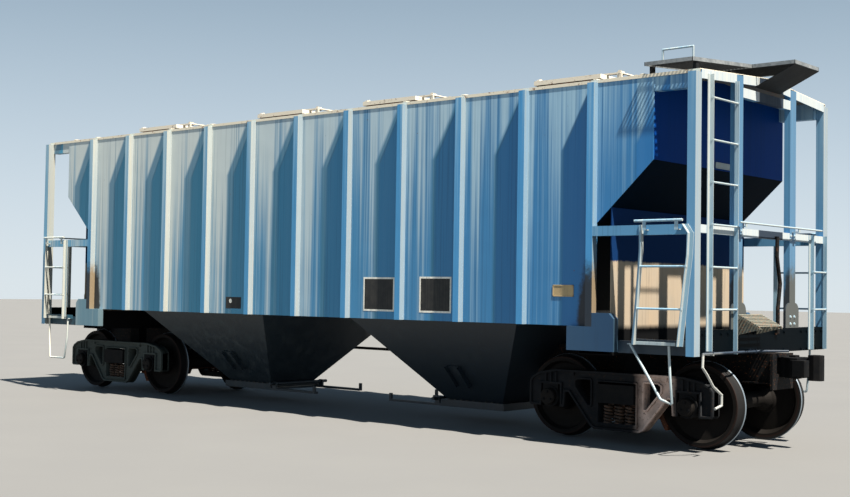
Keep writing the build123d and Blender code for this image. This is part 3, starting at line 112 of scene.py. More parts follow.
def weathered_enamel(name, paint, chalk, level, end_face_chalk_and_light=None, foot=None, soot=0.2, shade_strip=None, board_shadow=None,
                     ior=1.5):
    """Blue enamel on steel. paint and chalk are (front, rear) colours, level is how far it has chalked,
    end_face_chalk_and_light are (front, rear) colours of faces towards the ends, partly chalk and partly
    painted light and shade for how the sun falls on them, foot is (from X, to X, stain, edge), shade_strip
    are the (front, rear) colours of a painted shade strip behind each post, shaped like its cast shadow,
    and board_shadow is (from Y, to Y, colour) of the running board's painted shadow."""
    made, tree, shader, place = surface(name, roughness=0.62, ior=ior)
    along, aside, up = add(tree, "ShaderNodeSeparateXYZ", {0: place}).node.outputs
    rearward = add(tree, "ShaderNodeMapRange", {"Value": along, "From Min": 4.9, "From Max": -2.2})
    share = add(tree, "ShaderNodeMapRange", {"Value": up, "From Min": 1.9, "From Max": 4.0, "To Max": 0.36})
    # broad runs are about 110 mm wide, narrow ones 25 mm, both metres long
    broad = streaks(tree, place, (9.0, 9.0, 0.14), 1.5)
    narrow = streaks(tree, place, (44.0, 44.0, 0.4), 2.0)
    for strength, part in ((0.3, rearward), (1.1, broad), (0.8, narrow)):
        share = add(tree, "ShaderNodeMath", {0: part, 1: strength, 2: share}, operation="MULTIPLY_ADD")
    chalked = add(tree, "ShaderNodeMapRange",
                  {"Value": share, "From Min": 1.25 - level, "From Max": 1.85 - level, "To Max": 0.9},
                  interpolation_type="SMOOTHSTEP")
    fresh, pale, shade_strip_tone = (laid_over(tree, linear(front), linear(rear), rearward)
                              for front, rear in (paint, chalk, shade_strip or paint))
    if shade_strip:
        # painted shade: a strip 440 mm wide behind each post, shaped like the post's cast shadow, narrowing
        # almost to nothing over the last 710 mm under the eave
        across = add(tree, "ShaderNodeMath", {0: along, 1: POST_PITCH}, operation="DIVIDE")
        across = add(tree, "ShaderNodeMath", {0: across}, operation="FRACT")
        start = add(tree, "ShaderNodeMapRange", {"Value": up, "From Min": EAVE - 0.71,
                                                 "From Max": EAVE, "To Min": 0.53, "To Max": 0.94})
        # to the rear the painted shade strip is wider than the cast shadow, and its margin is painted darker
        wider = add(tree, "ShaderNodeMath", {0: rearward, 1: 0.16}, operation="MULTIPLY")
        shade_margin = add(tree, "ShaderNodeMath", {0: start, 1: wider}, operation="SUBTRACT")
        for edge, tone, most in ((shade_margin, linear("#215f7c"), 0.85), (start, shade_strip_tone, 0.75)):
            inside = add(tree, "ShaderNodeMath", {0: across, 1: edge}, operation="SUBTRACT")
            fresh = laid_over(tree, fresh, tone, inside, 0.0, 0.05, most)
            left = add(tree, "ShaderNodeMapRange", {"Value": inside, "From Max": 0.05, "To Min": 1.0,
                                                    "To Max": 1.0 - most})
            chalked = add(tree, "ShaderNodeMath", {0: chalked, 1: left}, operation="MULTIPLY")
    colour = laid_over(tree, fresh, pale, chalked)
    colour = laid_over(tree, colour, linear("#10283a"), narrow, 0.44, 0.32, soot)
    endward = add(tree, "ShaderNodeMath", {0: facing(tree, "X")}, operation="ABSOLUTE")
    # painted light and shade: faces towards the ends get tones of their own, partly chalk and partly set for
    # how strongly the sun lights them
    if end_face_chalk_and_light:
        chalk_and_light_tone = laid_over(tree, linear(end_face_chalk_and_light[0]), linear(end_face_chalk_and_light[1]), rearward)
        thin = add(tree, "ShaderNodeMapRange",
                   {"Value": narrow, "From Min": 0.3, "From Max": 0.7, "To Min": 0.7})
        outward = add(tree, "ShaderNodeMapRange", {"Value": endward, "From Min": 0.5, "From Max": 0.8})
        outward = add(tree, "ShaderNodeMath", {0: outward, 1: thin}, operation="MULTIPLY")
        colour = laid_over(tree, colour, chalk_and_light_tone, outward)
    # painted shadow: a navy band across the end beams where the running board's shadow falls, mirrored at the
    # far end
    if board_shadow:
        y0, y1, shade = board_shadow
        half = (y1 - y0) / 2
        way = add(tree, "ShaderNodeMath", {0: along}, operation="SIGN")
        off = add(tree, "ShaderNodeMath", {0: way, 1: aside}, operation="MULTIPLY")
        off = add(tree, "ShaderNodeMath", {0: off, 1: (y0 + y1) / 2}, operation="SUBTRACT")
        off = add(tree, "ShaderNodeMath", {0: off}, operation="ABSOLUTE")
        colour = laid_over(tree, colour, linear(shade), off, half + 0.01, half - 0.01, 0.95)
    # rust pricks through in 10 mm spots where the enamel is thin
    spots = add(tree, "ShaderNodeTexNoise",
                {"Vector": place, "Scale": 16.0, "Detail": 7.0, "Roughness": 0.66})
    colour = laid_over(tree, colour, linear("#5a3d2a"), spots, 0.70, 0.76, 0.8)
    if foot:
        x0, x1, stain, edge = foot
        out = add(tree, "ShaderNodeMath", {0: along}, operation="ABSOLUTE")
        near = add(tree, "ShaderNodeMapRange", {"Value": out, "From Min": x0, "From Max": x1})
        before = add(tree, "ShaderNodeMath", {0: out, 1: x1 + 0.2}, operation="LESS_THAN")
        low = add(tree, "ShaderNodeMapRange", {"Value": up, "From Min": 2.3, "From Max": 1.5})
        wet = add(tree, "ShaderNodeMath", {0: near, 1: low}, operation="MULTIPLY")
        wet = add(tree, "ShaderNodeMath", {0: wet, 1: before}, operation="MULTIPLY")
        ragged = add(tree, "ShaderNodeMath", {0: spots, 1: 0.5, 2: wet}, operation="MULTIPLY_ADD")
        stained = add(tree, "ShaderNodeMapRange",
                      {"Value": ragged, "From Min": 0.5, "From Max": 0.85, "To Max": 0.95},
                      interpolation_type="SMOOTHSTEP")
        tone = laid_over(tree, linear(stain), linear(edge), endward)
        colour = laid_over(tree, colour, tone, stained)
    rough = add(tree, "ShaderNodeMapRange", {"Value": chalked, "To Min": 0.5, "To Max": 0.85})
    # the sheet's own waves are about 400 mm long; the sprayed skin's ripple is drawn at 6 mm
    waves = add(tree, "ShaderNodeTexNoise", {"Vector": place, "Scale": 2.4, "Detail": 1.0})
    ripple = add(tree, "ShaderNodeTexNoise", {"Vector": place, "Scale": 160.0, "Detail": 2.0})
    swell = add(tree, "ShaderNodeBump", {"Height": waves, "Strength": 0.3, "Distance": 0.012})
    skin = add(tree, "ShaderNodeBump",
               {"Height": ripple, "Normal": swell, "Strength": 0.12, "Distance": 0.0015})
    feed(shader, {"Base Color": colour, "Roughness": rough, "Normal": skin})
    return made


def wear(finish, *nodes):
    """Gives CAD nodes a finish in place of their plain one."""
    for name in nodes:
        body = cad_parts[name]
        body.data.materials.clear()
        body.data.materials.append(finish)


side_enamel = weathered_enamel("chalked_blue_enamel", ("#2a6ea2", "#3c7ca0"), ("#8db2c8", "#b9c2c1"), 0.27,
                               foot=(4.38, 4.56, "#15110d", "#15110d"), shade_strip=("#186aac", "#2f8db0"))
post_enamel = weathered_enamel("chalked_post_enamel", ("#3b86bd", "#3f84b0"), ("#85adc6", "#9db8c4"), 0.0,
                               end_face_chalk_and_light=("#667c8a", "#96978f"), foot=(4.54, 4.58, "#100c09", "#75664f"))
wear(side_enamel, "side_sheets", "top_chords")
wear(post_enamel, "side_posts")


def block(work, x0, x1, y0, y1, z0, z1):
    """Adds a box between two corners."""
    middle = Matrix.Translation(((x0 + x1) / 2, (y0 + y1) / 2, (z0 + z1) / 2))
    sides = Matrix.Diagonal((abs(x1 - x0), abs(y1 - y0), abs(z1 - z0), 1))
    return bmesh.ops.create_cube(work, size=1, matrix=middle @ sides)["verts"]


def prism(work, points, along):
    """Adds a closed outline of points, made solid along a vector."""
    foot = [work.verts.new(p) for p in points]
    head = [work.verts.new(Vector(p) + Vector(along)) for p in points]
    work.faces.new(foot)
    work.faces.new(list(reversed(head)))
    for i in range(len(points)):
        work.faces.new((foot[i - 1], head[i - 1], head[i], foot[i]))


def turned(work, start, end, profile, steps=24):
    """Adds a turned shape about the line from start to end: profile holds (distance along, radius)."""
    start, end = Vector(start), Vector(end)
    axis = (end - start).normalized()
    across = axis.orthogonal().normalized()
    other = axis.cross(across)
    rings = []
    for along, radius in profile:
        centre = start + axis * along
        rings.append([work.verts.new(centre + (across * math.cos(a) + other * math.sin(a)) * radius)
                      for a in (2 * math.pi * i / steps for i in range(steps))])
    for a, b in zip(rings, rings[1:]):
        for i in range(steps):
            work.faces.new((a[i - 1], a[i], b[i], b[i - 1]))
    work.faces.new(rings[0])
    work.faces.new(list(reversed(rings[-1])))


def again(work, move):
    """Copies all that is in the work once more, through a matrix."""
    copy = bmesh.ops.duplicate(work, geom=work.verts[:] + work.edges[:] + work.faces[:])
    moved = [part for part in copy["geom"] if isinstance(part, bmesh.types.BMVert)]
    bmesh.ops.transform(work, matrix=move, verts=moved)


HALF_TURN = Matrix.Rotation(math.pi, 4, "Z")
OTHER_SIDE = Matrix.Scale(-1, 4, (0, 1, 0))


def piece(name, work, finish, body, bevel=0.0, smooth=False):
    """Makes a finished bmesh into an object that rides on a body. bevel rounds its hard edges."""
    bmesh.ops.recalc_face_normals(work, faces=work.faces[:])
    shape = bpy.data.meshes.new(name)
    work.to_mesh(shape)
    work.free()
    made = bpy.data.objects.new(name, shape)
    bpy.context.scene.collection.objects.link(made)
    shape.materials.append(finish)
    if smooth:
        shape.shade_smooth()
        shape.set_sharp_from_angle(angle=math.radians(40))
    if bevel:
        rounded = made.modifiers.new("rounded edges", "BEVEL")
        rounded.width = bevel
        rounded.segments = 2
        rounded.limit_method = "ANGLE"
        rounded.angle_limit = math.radians(35)
    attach(made, body)
    return made


# Marks on the sides: two black stencil squares edged in white, a yellow plate with a raised rim, and a
# dark square with a white dot. Stencils are brushed enamel, laid on the sheet a hair thick; all are blank.
STENCILS = ((1.23, 1.715, 1.435, 1.815), (2.17, 2.63, 1.435, 1.825))
STENCIL_EDGE = 0.022
DOT_SQUARE = (-1.45, -1.13, 1.39, 1.55)
YELLOW_PLATE = (4.12, 4.40, 1.635, 1.765)
PLATE_RIM = 0.012
PLATE_THICK = 0.003
SKIN = 0.0012


def stencil_enamel(name, code, grime):
    """Brushed enamel, dulled by dust: a soft mottle about 70 mm across and rain runs over it."""
    made, tree, shader, place = surface(name, roughness=0.7)
    mottle = add(tree, "ShaderNodeTexNoise",
                 {"Vector": place, "Scale": 14.0, "Detail": 6.0, "Roughness": 0.6})
    runs = streaks(tree, place, (60.0, 60.0, 1.2), 2.0)
    both = add(tree, "ShaderNodeMath", {0: mottle, 1: runs}, operation="MULTIPLY")
    colour = laid_over(tree, linear(code), linear(grime), both, 0.18, 0.42, 0.6)
    bump = add(tree, "ShaderNodeBump", {"Height": mottle, "Strength": 0.1, "Distance": 0.001})
    feed(shader, {"Base Color": colour, "Normal": bump})
    return made


black_enamel = stencil_enamel("brushed_black_enamel", "#0c1013", "#34322f")
white_enamel = stencil_enamel("brushed_white_enamel", "#dcdcd4", "#8d9896")
yellow_enamel = stencil_enamel("stamped_yellow_plate", "#a8946e", "#7d7058")

fields = bmesh.new()
edges = bmesh.new()
for x0, x1, z0, z1 in STENCILS:
    block(fields, x0, x1, -SHEET_Y - SKIN, -SHEET_Y, z0, z1)
    wide = (x0 - STENCIL_EDGE, x1 + STENCIL_EDGE)
    for border in ((*wide, z1, z1 + STENCIL_EDGE), (*wide, z0 - STENCIL_EDGE, z0),
                   (wide[0], x0, z0, z1), (x1, wide[1], z0, z1)):
        block(edges, *border[:2], -SHEET_Y - 1.5 * SKIN, -SHEET_Y, *border[2:])
x0, x1, z0, z1 = DOT_SQUARE
block(fields, x0, x1, -SHEET_Y - SKIN, -SHEET_Y, z0, z1)
dot = Vector((x0 + 0.1, -SHEET_Y, z1 - 0.055))
turned(edges, dot, dot - Vector((0, 0.01, 0)), [(0, 0.03), (0.0022, 0.03)])
for work in (fields, edges):
    again(work, HALF_TURN)
piece("stencil_fields", fields, black_enamel, "car_body")
piece("stencil_borders", edges, white_enamel, "car_body")

plate = bmesh.new()
x0, x1, z0, z1 = YELLOW_PLATE
face = -SHEET_Y - PLATE_THICK
block(plate, x0, x1, face, -SHEET_Y, z0, z1)
for border in ((x0, x1, z1 - PLATE_RIM, z1), (x0, x1, z0, z0 + PLATE_RIM), (x0, x0 + PLATE_RIM, z0, z1),
               (x1 - PLATE_RIM, x1, z0, z1)):
    block(plate, *border[:2], face - PLATE_THICK, face, *border[2:])
again(plate, HALF_TURN)
piece("blank_yellow_plates", plate, yellow_enamel, "car_body", bevel=0.001)


# Roof and hatches: 6 mm roof sheets with seam caps over their joints, eight oblong hatches on rusty
# coamings, each with a pressed lid that three ribs stiffen, and a lock bar held down by two dogs.
# Grey enamel, dusty, kept mid grey on top and painted near white on upright faces as a painted highlight
# of their sunlit edges, with rust breaking through in fine spots; the coamings are painted dark, partly
# rust and partly painted shade under the lids.
HATCH_XS = (-3.75, -0.96, 1.13, 3.93)
HATCH_Y = 0.73
LID_TOP = 4.1704
LID_RIBS = (-0.19, 0.0, 0.19)
LOCK_DOGS = (-0.24, 0.24)
ROOF_EDGE = EAVE + 0.03
ROOF_RISE = 0.11
SEAM_XS = (-5.24, -4.65, -2.79, -1.86, 0.05, 1.86, 2.79, 4.65, 5.24)


def dusty_enamel(name, clean, dust, rust_share, grain=7.0, rust="#7a4a2b", upright_highlight=None):
    """Chalked enamel: dust lies in clouds, 150 mm across at a grain of 7, and rust breaks through in
    fine spots. upright_highlight is the colour of upright faces, a painted highlight of their sunlit edges."""
    made, tree, shader, place = surface(name, roughness=0.75)
    clouds = add(tree, "ShaderNodeTexNoise",
                 {"Vector": place, "Scale": grain, "Detail": 7.0, "Roughness": 0.6})
    colour = laid_over(tree, linear(clean), linear(dust), clouds, 0.35, 0.65)
    # painted light: upright faces are made near white while tops stay mid grey, for how the sun falls on them
    if upright_highlight:
        level = add(tree, "ShaderNodeMath", {0: facing(tree, "Z")}, operation="ABSOLUTE")
        colour = laid_over(tree, colour, linear(upright_highlight), level, 0.6, 0.4, 0.9)
    spots = add(tree, "ShaderNodeTexNoise",
                {"Vector": place, "Scale": grain * 3.5, "Detail": 9.0, "Roughness": 0.7})
    both = add(tree, "ShaderNodeMath", {0: clouds, 1: 0.5, 2: spots}, operation="MULTIPLY_ADD")
    colour = laid_over(tree, colour, linear(rust), both, 0.92 - rust_share, 1.02 - rust_share)
    bump = add(tree, "ShaderNodeBump", {"Height": spots, "Strength": 0.3, "Distance": 0.002})
    feed(shader, {"Base Color": colour, "Normal": bump})
    return made


roof_enamel = dusty_enamel("grey_roof_enamel_painted_edge_light", "#5a5e5c", "#6b6961", 0.08, upright_highlight="#dcd6c4")
lid_enamel = dusty_enamel("lid_enamel_painted_edge_light", "#74716a", "#807b71", 0.07, rust="#6b5142", upright_highlight="#dad4c6")
# partly painted shade: the coamings are near-black brown for the shade under the lid lips, partly rust
coaming_rust_and_shade = dusty_enamel("rusty_coaming_painted_shade", "#1d1512", "#33261f", 0.2)
wear(roof_enamel, "roof", "roof_panels")
wear(lid_enamel, "hatch_hinges", *[f"hatch_lid_{s}{i}" for s in "rl" for i in (1, 2, 3, 4)])
wear(coaming_rust_and_shade, "hatch_coamings")


def roof_z(y):
    """Height of the roof sheets, which fall to both sides."""
    return ROOF_EDGE + ROOF_RISE * (1 - abs(y) / POST_FACE_Y)


seams = bmesh.new()
for x in SEAM_XS:
    cap = [(y, roof_z(y) + lift) for y, lift in ((-1.54, 0), (-0.33, 0), (-0.33, 0.012), (-1.54, 0.012))]
    prism(seams, [(x - 0.025, y, z) for y, z in cap], (0.05, 0, 0))
again(seams, OTHER_SIDE)
piece("roof_seam_caps", seams, roof_enamel, "car_body", bevel=0.003)

for side, sign in (("r", -1), ("l", 1)):
    for number, x in zip((4, 3, 2, 1), HATCH_XS):
        ribs = bmesh.new()
        y = sign * HATCH_Y
        for offset in LID_RIBS:
            section = ((-0.03, -0.001), (-0.014, 0.012), (0.014, 0.012), (0.03, -0.001))
            prism(ribs, [(x - 0.41, y + offset + dy, LID_TOP + dz) for dy, dz in section], (0.60, 0, 0))
        block(ribs, x - 0.44, x - 0.40, y - 0.29, y + 0.29, LID_TOP - 0.001, LID_TOP + 0.018)
        for offset in LOCK_DOGS:
            y0 = y + offset - 0.022
            y1 = y + offset + 0.022
            block(ribs, x - 0.49, x - 0.38, y0, y1, LID_TOP + 0.002, LID_TOP + 0.014)
            block(ribs, x - 0.49, x - 0.474, y0, y1, LID_TOP - 0.04, LID_TOP + 0.014)
            seat = Vector((x - 0.42, y + offset, LID_TOP))
            turned(ribs, seat, seat + Vector((0, 0, 0.1)), [(0, 0.016), (0.026, 0.016), (0.03, 0.012)], 12)
        piece(f"lid_ribs_{side}{number}", ribs, lid_enamel, f"hatch_lid_{side}{number}",
              bevel=0.002)


# Walkways: the running board and both cross walks are steel gratings, upright bearing bars tied by
# cross bars and banded at the edges, laid on saddles. They are hot-dip galvanised, now black with soot
# and rubbed grey on top by boots.
WALK_END_X, WALK_HALF, WALK_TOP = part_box("running_board")[1]
WALK_DEPTH = 0.04
BAND = 0.006
PLATFORM = (5.32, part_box("end_platforms")[1][0])
PLATFORM_OUTER_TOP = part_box("end_platforms")[0][2] + WALK_DEPTH


def dull_zinc(name, code, pale, worn=None, metallic=0.55, ior=1.5):
    """Galvanised steel gone dull: crystal patches about 25 mm across and a dust film. worn is the
    colour of its upper faces, where boots have rubbed a film of soot away."""
    made, tree, shader, place = surface(name, 0.55, metallic, ior)
    spangle = add(tree, "ShaderNodeTexVoronoi", {"Vector": place, "Scale": 40.0}, "Color")
    grey = add(tree, "ShaderNodeSeparateColor", {0: spangle})
    film = add(tree, "ShaderNodeTexNoise", {"Vector": place, "Scale": 5.0, "Detail": 6.0})
    both = add(tree, "ShaderNodeMath", {0: grey, 1: 0.35, 2: film}, operation="MULTIPLY_ADD")
    colour = laid_over(tree, linear(code), linear(pale), both, 0.4, 0.9)
    if worn:
        colour = laid_over(tree, colour, linear(worn), facing(tree, "Z"), 0.6, 0.9, 0.9)
    rough = add(tree, "ShaderNodeMapRange", {"Value": film, "To Min": 0.42, "To Max": 0.75})
    feed(shader, {"Base Color": colour, "Roughness": rough})
    return made


zinc = dull_zinc("sooty_galvanised_grating", "#101214", "#1d1f21", worn="#5d6264", metallic=0.0, ior=1.2)
band_zinc = dull_zinc("worn_galvanised_bands", "#70767a", "#92979a")
wear(zinc, "walkway_brackets")


def tree_of(name, sizes):
    """Starts a Geometry Nodes tree with named inputs, and returns it with those inputs."""
    tree = bpy.data.node_groups.new(name, "GeometryNodeTree")
    tree.interface.new_socket("Geometry", in_out="INPUT", socket_type="NodeSocketGeometry")
    for label, kind in sizes:
        tree.interface.new_socket(label, in_out="INPUT", socket_type="NodeSocket" + kind)
    tree.interface.new_socket("Geometry", in_out="OUTPUT", socket_type="NodeSocketGeometry")
    return tree, add(tree, "NodeGroupInput").node.outputs


def close_tree(tree, given, seats, shape, turn=None):
    """Ends a tree: sets the shape at its seats as real meshes, in their material."""
    rows = {"Points": seats, "Instance": shape}
    if turn:
        rows["Rotation"] = turn
    instances = add(tree, "GeometryNodeInstanceOnPoints", rows)
    real = add(tree, "GeometryNodeRealizeInstances", {0: instances})
    painted = add(tree, "GeometryNodeSetMaterial", {"Geometry": real, "Material": given["Finish"]})
    add(tree, "NodeGroupOutput", {0: painted})


def meshed(data, maker=None, sizes=()):
    """Puts data into the scene, runs a tree on it if one is given, and returns the plain mesh."""
    carrier = bpy.data.objects.new("carrier", data)
    bpy.context.scene.collection.objects.link(carrier)
    if maker:
        run = carrier.modifiers.new("maker", "NODES")
        run.node_group = maker
        for item in maker.interface.items_tree:
            if item.in_out == "INPUT" and item.name in sizes:
                run[item.identifier] = sizes[item.name]
    ready = bpy.context.evaluated_depsgraph_get()
    made = bpy.data.meshes.new_from_object(carrier.evaluated_get(ready), depsgraph=ready)
    bpy.data.objects.remove(carrier)
    return made


ROW = (("Count", "Int"), ("First", "Vector"), ("Step", "Vector"), ("Finish", "Material"))


def row_seats(tree, given):
    """Adds the seats of a row: a count of points, each one step past the last."""
    return add(tree, "GeometryNodeMeshLine", {"Count": given["Count"], "Start Location": given["First"],
                                              "Offset": given["Step"]})


# one tree sets a row of like bars: gratings are rows of it
bar_row, given = tree_of("row_of_bars", (*ROW, ("Bar", "Vector")))
bar = add(bar_row, "GeometryNodeMeshCube", {"Size": given["Bar"]})
close_tree(bar_row, given, row_seats(bar_row, given), bar)


def bars(work, count, first, step, size, finish):
    """Adds a row of bars to the work."""
    sizes = {"Count": count, "First": first, "Step": step, "Bar": size, "Finish": finish}
    work.from_mesh(meshed(bpy.data.meshes.new("row"), bar_row, sizes))


BAR_Z = WALK_TOP - 0.018
TIE_Z = WALK_TOP - 0.008
walk = bmesh.new()
bars(walk, 14, (0, -0.286, BAR_Z), (0, 0.044, 0), (2 * WALK_END_X - 0.02, 0.005, 0.034), zinc)
bars(walk, 122, (-6.292, 0, TIE_Z), (0.104, 0, 0), (0.007, 2 * WALK_HALF - 0.01, 0.008), zinc)
bands = bmesh.new()
low, high = WALK_TOP - WALK_DEPTH, WALK_TOP
for side in (-1, 1):
    block(bands, -WALK_END_X, WALK_END_X, side * (WALK_HALF - BAND), side * WALK_HALF, low, high)
    block(bands, side * (WALK_END_X - BAND), side * WALK_END_X, -WALK_HALF, WALK_HALF, low, high)
piece("running_board_bands", bands, band_zinc, "car_body")
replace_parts(piece("running_board_grating", walk, zinc, "car_body"), "running_board")

cross = bmesh.new()
rims = bmesh.new()
x0, x1 = PLATFORM
bars(cross, 12, (x0 + 0.04, -0.965, BAR_Z), (0.0445, 0, 0), (0.005, 1.308, 0.034), zinc)
bars(cross, 13, ((x0 + x1) / 2, -1.57, TIE_Z), (0, 0.1, 0), (x1 - x0 - 0.01, 0.007, 0.008), zinc)
for border in ((x0, x0 + BAND, -POST_FACE_Y, -WALK_HALF), (x1 - BAND, x1, -POST_FACE_Y, -WALK_HALF),
               (x0, x1, -POST_FACE_Y, -POST_FACE_Y + BAND), (x0, x1, -WALK_HALF - BAND, -WALK_HALF)):
    block(rims, *border, low, high)
fall = (WALK_TOP - PLATFORM_OUTER_TOP) / (POST_FACE_Y - WALK_HALF)
for work in (cross, rims):
    for v in work.verts:
        v.co.z += fall * (v.co.y + WALK_HALF)
    again(work, HALF_TURN)
piece("cross_walk_bands", rims, band_zinc, "car_body")
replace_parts(piece("cross_walk_gratings", cross, zinc, "car_body"), "end_platforms")


# Ends: flat end walls over the slope sheets, corner and end posts, beams and sills, all welded.
# The same blue enamel, deep where the roof keeps the sun off; faces towards the ends are partly chalk,
# partly painted light and shade; ladder stiles and irons are painted in it too. The slope sheets are
# painted near black as painted shade, and the end beams carry a painted shadow of the running board.
end_enamel = weathered_enamel("shaded_blue_enamel", ("#023070", "#053670"), ("#0c3e78", "#164a7a"), -0.2,
                              ior=1.1)
# painted shade: the slope sheets are painted near black for the shade under the end walls
slope_painted_shade = weathered_enamel("painted_shade_slope_enamel", ("#02101c", "#03111e"), ("#061626", "#08192a"), -0.15,
                                soot=0.0, ior=1.05)
frame_enamel = weathered_enamel("chalked_frame_enamel", ("#5589b0", "#6497b6"), ("#96b4c6", "#adbbbf"), 0.05,
                                end_face_chalk_and_light=("#7d868a", "#8a8b84"))
beam_enamel = weathered_enamel("chalked_beam_enamel", ("#5589b0", "#6497b6"), ("#96b4c6", "#adbbbf"), 0.05,
                               end_face_chalk_and_light=("#a6abaa", "#a3a49d"), board_shadow=(-0.20, 0.40, "#0a1b2e"), ior=1.2)
end_post_enamel = weathered_enamel("worn_end_post_enamel", ("#4f86b0", "#5c8fb2"), ("#8fb0c4", "#a5b8bf"),
                                   0.0, end_face_chalk_and_light=("#3f5f7a", "#566d7c"),
                                   foot=(5.8, 5.9, "#25282a", "#3f403b"))
iron_enamel = weathered_enamel("chalked_iron_enamel", ("#7ba0b8", "#8aa5b3"), ("#b4bfbf", "#bfc0b6"), 0.25,
                               end_face_chalk_and_light=("#8f9492", "#9b9a90"))
pad_enamel = weathered_enamel("dull_pad_enamel", ("#103a5c", "#5a7d8d"), ("#204c69", "#97a6a9"), 0.0,
                              end_face_chalk_and_light=("#233847", "#51626a"))
foot_enamel = weathered_enamel("grimy_foot_enamel", ("#0c2536", "#1b3c4c"), ("#1c404f", "#335a68"), 0.0,
                               soot=0.5)
# the end sills and their bolt heads are painted near black
sill_near_black = weathered_enamel("near_black_sill_enamel", ("#02060a", "#04080c"), ("#060d15", "#0a1117"), 0.0,
                              soot=0.0, ior=1.1)
wear(end_enamel, "end_walls", "centre_ridge")
wear(slope_painted_shade, "slope_sheets")
wear(frame_enamel, "corner_posts")
wear(beam_enamel, "end_beams")
wear(end_post_enamel, "end_posts")
wear(pad_enamel, "jacking_pads")
wear(foot_enamel, "side_sills")
wear(sill_near_black, "end_sills")
wear(iron_enamel, "end_ladders", "side_ladders", "ladder_rungs", "grab_irons", "hand_brake")

# bolster webs: above the line where the slope sheet's shadow falls they are painted navy as painted shade;
# below it they are cream, partly product dust and partly painted sunlight; the box under them is black with
# brake grime
WEB_SHADE_AND_DUST_LINE = 2.035
WEB_GRIME = (1.36, 1.30)
web_enamel, tree, shader, place = surface("dust_and_painted_shade_web_enamel", roughness=0.8, ior=1.15)
clouds = add(tree, "ShaderNodeTexNoise", {"Vector": place, "Scale": 2.2, "Detail": 7.0, "Roughness": 0.62})
colour = laid_over(tree, linear("#a08e77"), linear("#8b8880"), clouds)
drips = streaks(tree, place, (30.0, 30.0, 1.0), 3.0)
colour = laid_over(tree, colour, linear("#5d5a55"), drips, 0.55, 0.75, 0.45)
height = add(tree, "ShaderNodeSeparateXYZ", {0: place}, "Z")
ragged = add(tree, "ShaderNodeMath", {0: drips, 1: 0.03, 2: height}, operation="MULTIPLY_ADD")
# painted shade: navy above the slope sheet's shadow line
colour = laid_over(tree, colour, linear("#082850"), ragged, WEB_SHADE_AND_DUST_LINE, WEB_SHADE_AND_DUST_LINE + 0.02)
colour = laid_over(tree, colour, linear("#0c0d0f"), ragged, *WEB_GRIME)
bump = add(tree, "ShaderNodeBump", {"Height": clouds, "Strength": 0.25, "Distance": 0.003})
feed(shader, {"Base Color": colour, "Normal": bump})
wear(web_enamel, "body_bolsters")

# one tree seats bolt heads, each a hexagon on its washer, on points that hold the way they face
head_seats, given = tree_of("heads_on_seats", (("Radius", "Float"), ("Height", "Float"),
                                               ("Finish", "Material")))
wide = add(head_seats, "ShaderNodeMath", {0: given["Radius"], 1: 1.5}, operation="MULTIPLY")
thin = add(head_seats, "ShaderNodeMath", {0: given["Height"], 1: 0.3}, operation="MULTIPLY")
hexagon = add(head_seats, "GeometryNodeMeshCylinder",
              {"Vertices": 6, "Radius": given["Radius"], "Depth": given["Height"]})
washer = add(head_seats, "GeometryNodeMeshCylinder", {"Vertices": 10, "Radius": wide, "Depth": thin})
half = add(head_seats, "ShaderNodeMath", {0: given["Height"], 1: 0.5}, operation="MULTIPLY")
lift = add(head_seats, "ShaderNodeCombineXYZ", {"Z": half})
raised = add(head_seats, "GeometryNodeTransform", {"Geometry": hexagon, "Translation": lift})
both = add(head_seats, "GeometryNodeJoinGeometry", {0: raised})
feed(both.node, {0: washer})
way = add(head_seats, "GeometryNodeInputNamedAttribute", {"Name": "facing"}, data_type="FLOAT_VECTOR")
turn = add(head_seats, "FunctionNodeAlignRotationToVector", {"Vector": way}, axis="Z")
close_tree(head_seats, given, given["Geometry"], both, turn)


def bolts(name, places, radius, height, finish, body):
    """Bolt heads at (place, way it faces) pairs."""
    seats = bpy.data.meshes.new("seats")
    seats.from_pydata([p for p, _ in places], [], [])
    ways = seats.attributes.new("facing", "FLOAT_VECTOR", "POINT")
    ways.data.foreach_set("vector", [c for _, way in places for c in way])
    work = bmesh.new()
    work.from_mesh(meshed(seats, head_seats, {"Radius": radius, "Height": height, "Finish": finish}))
    piece(name, work, finish, body)


END_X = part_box("end_posts")[1][0]
MID_BEAM_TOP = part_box("side_ladders")[1][2]
LADDER_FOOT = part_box("side_ladders")[0][2]
RUNG_ZS = [EAVE - 0.242 - 0.44 * i for i in range(6)]
RUNG_OUT = 0.035
END_LADDER = (-1.33, -0.78)
LOW_LADDER = (1.14, 1.50)
SIDE_LADDER = (5.285, 5.79)
END_POST_Y = 0.66
# the stiles of the knocked ladder at the front right corner: (height, lean) up each one
KNOCKED = (((LADDER_FOOT, -0.038), (1.6754, 0.008), (2.1254, 0.043), (MID_BEAM_TOP, 0.043)),
           ((LADDER_FOOT, -0.035), (1.8054, 0.035), (2.0754, 0.070), (2.3054, 0.080), (MID_BEAM_TOP, 0.013)))


def lean(bend, z):
    """How far a bent stile leans at a height."""
    for (z0, a), (z1, b) in zip(bend, bend[1:]):
        if z <= z1:
            return a + (b - a) * (z - z0) / (z1 - z0)


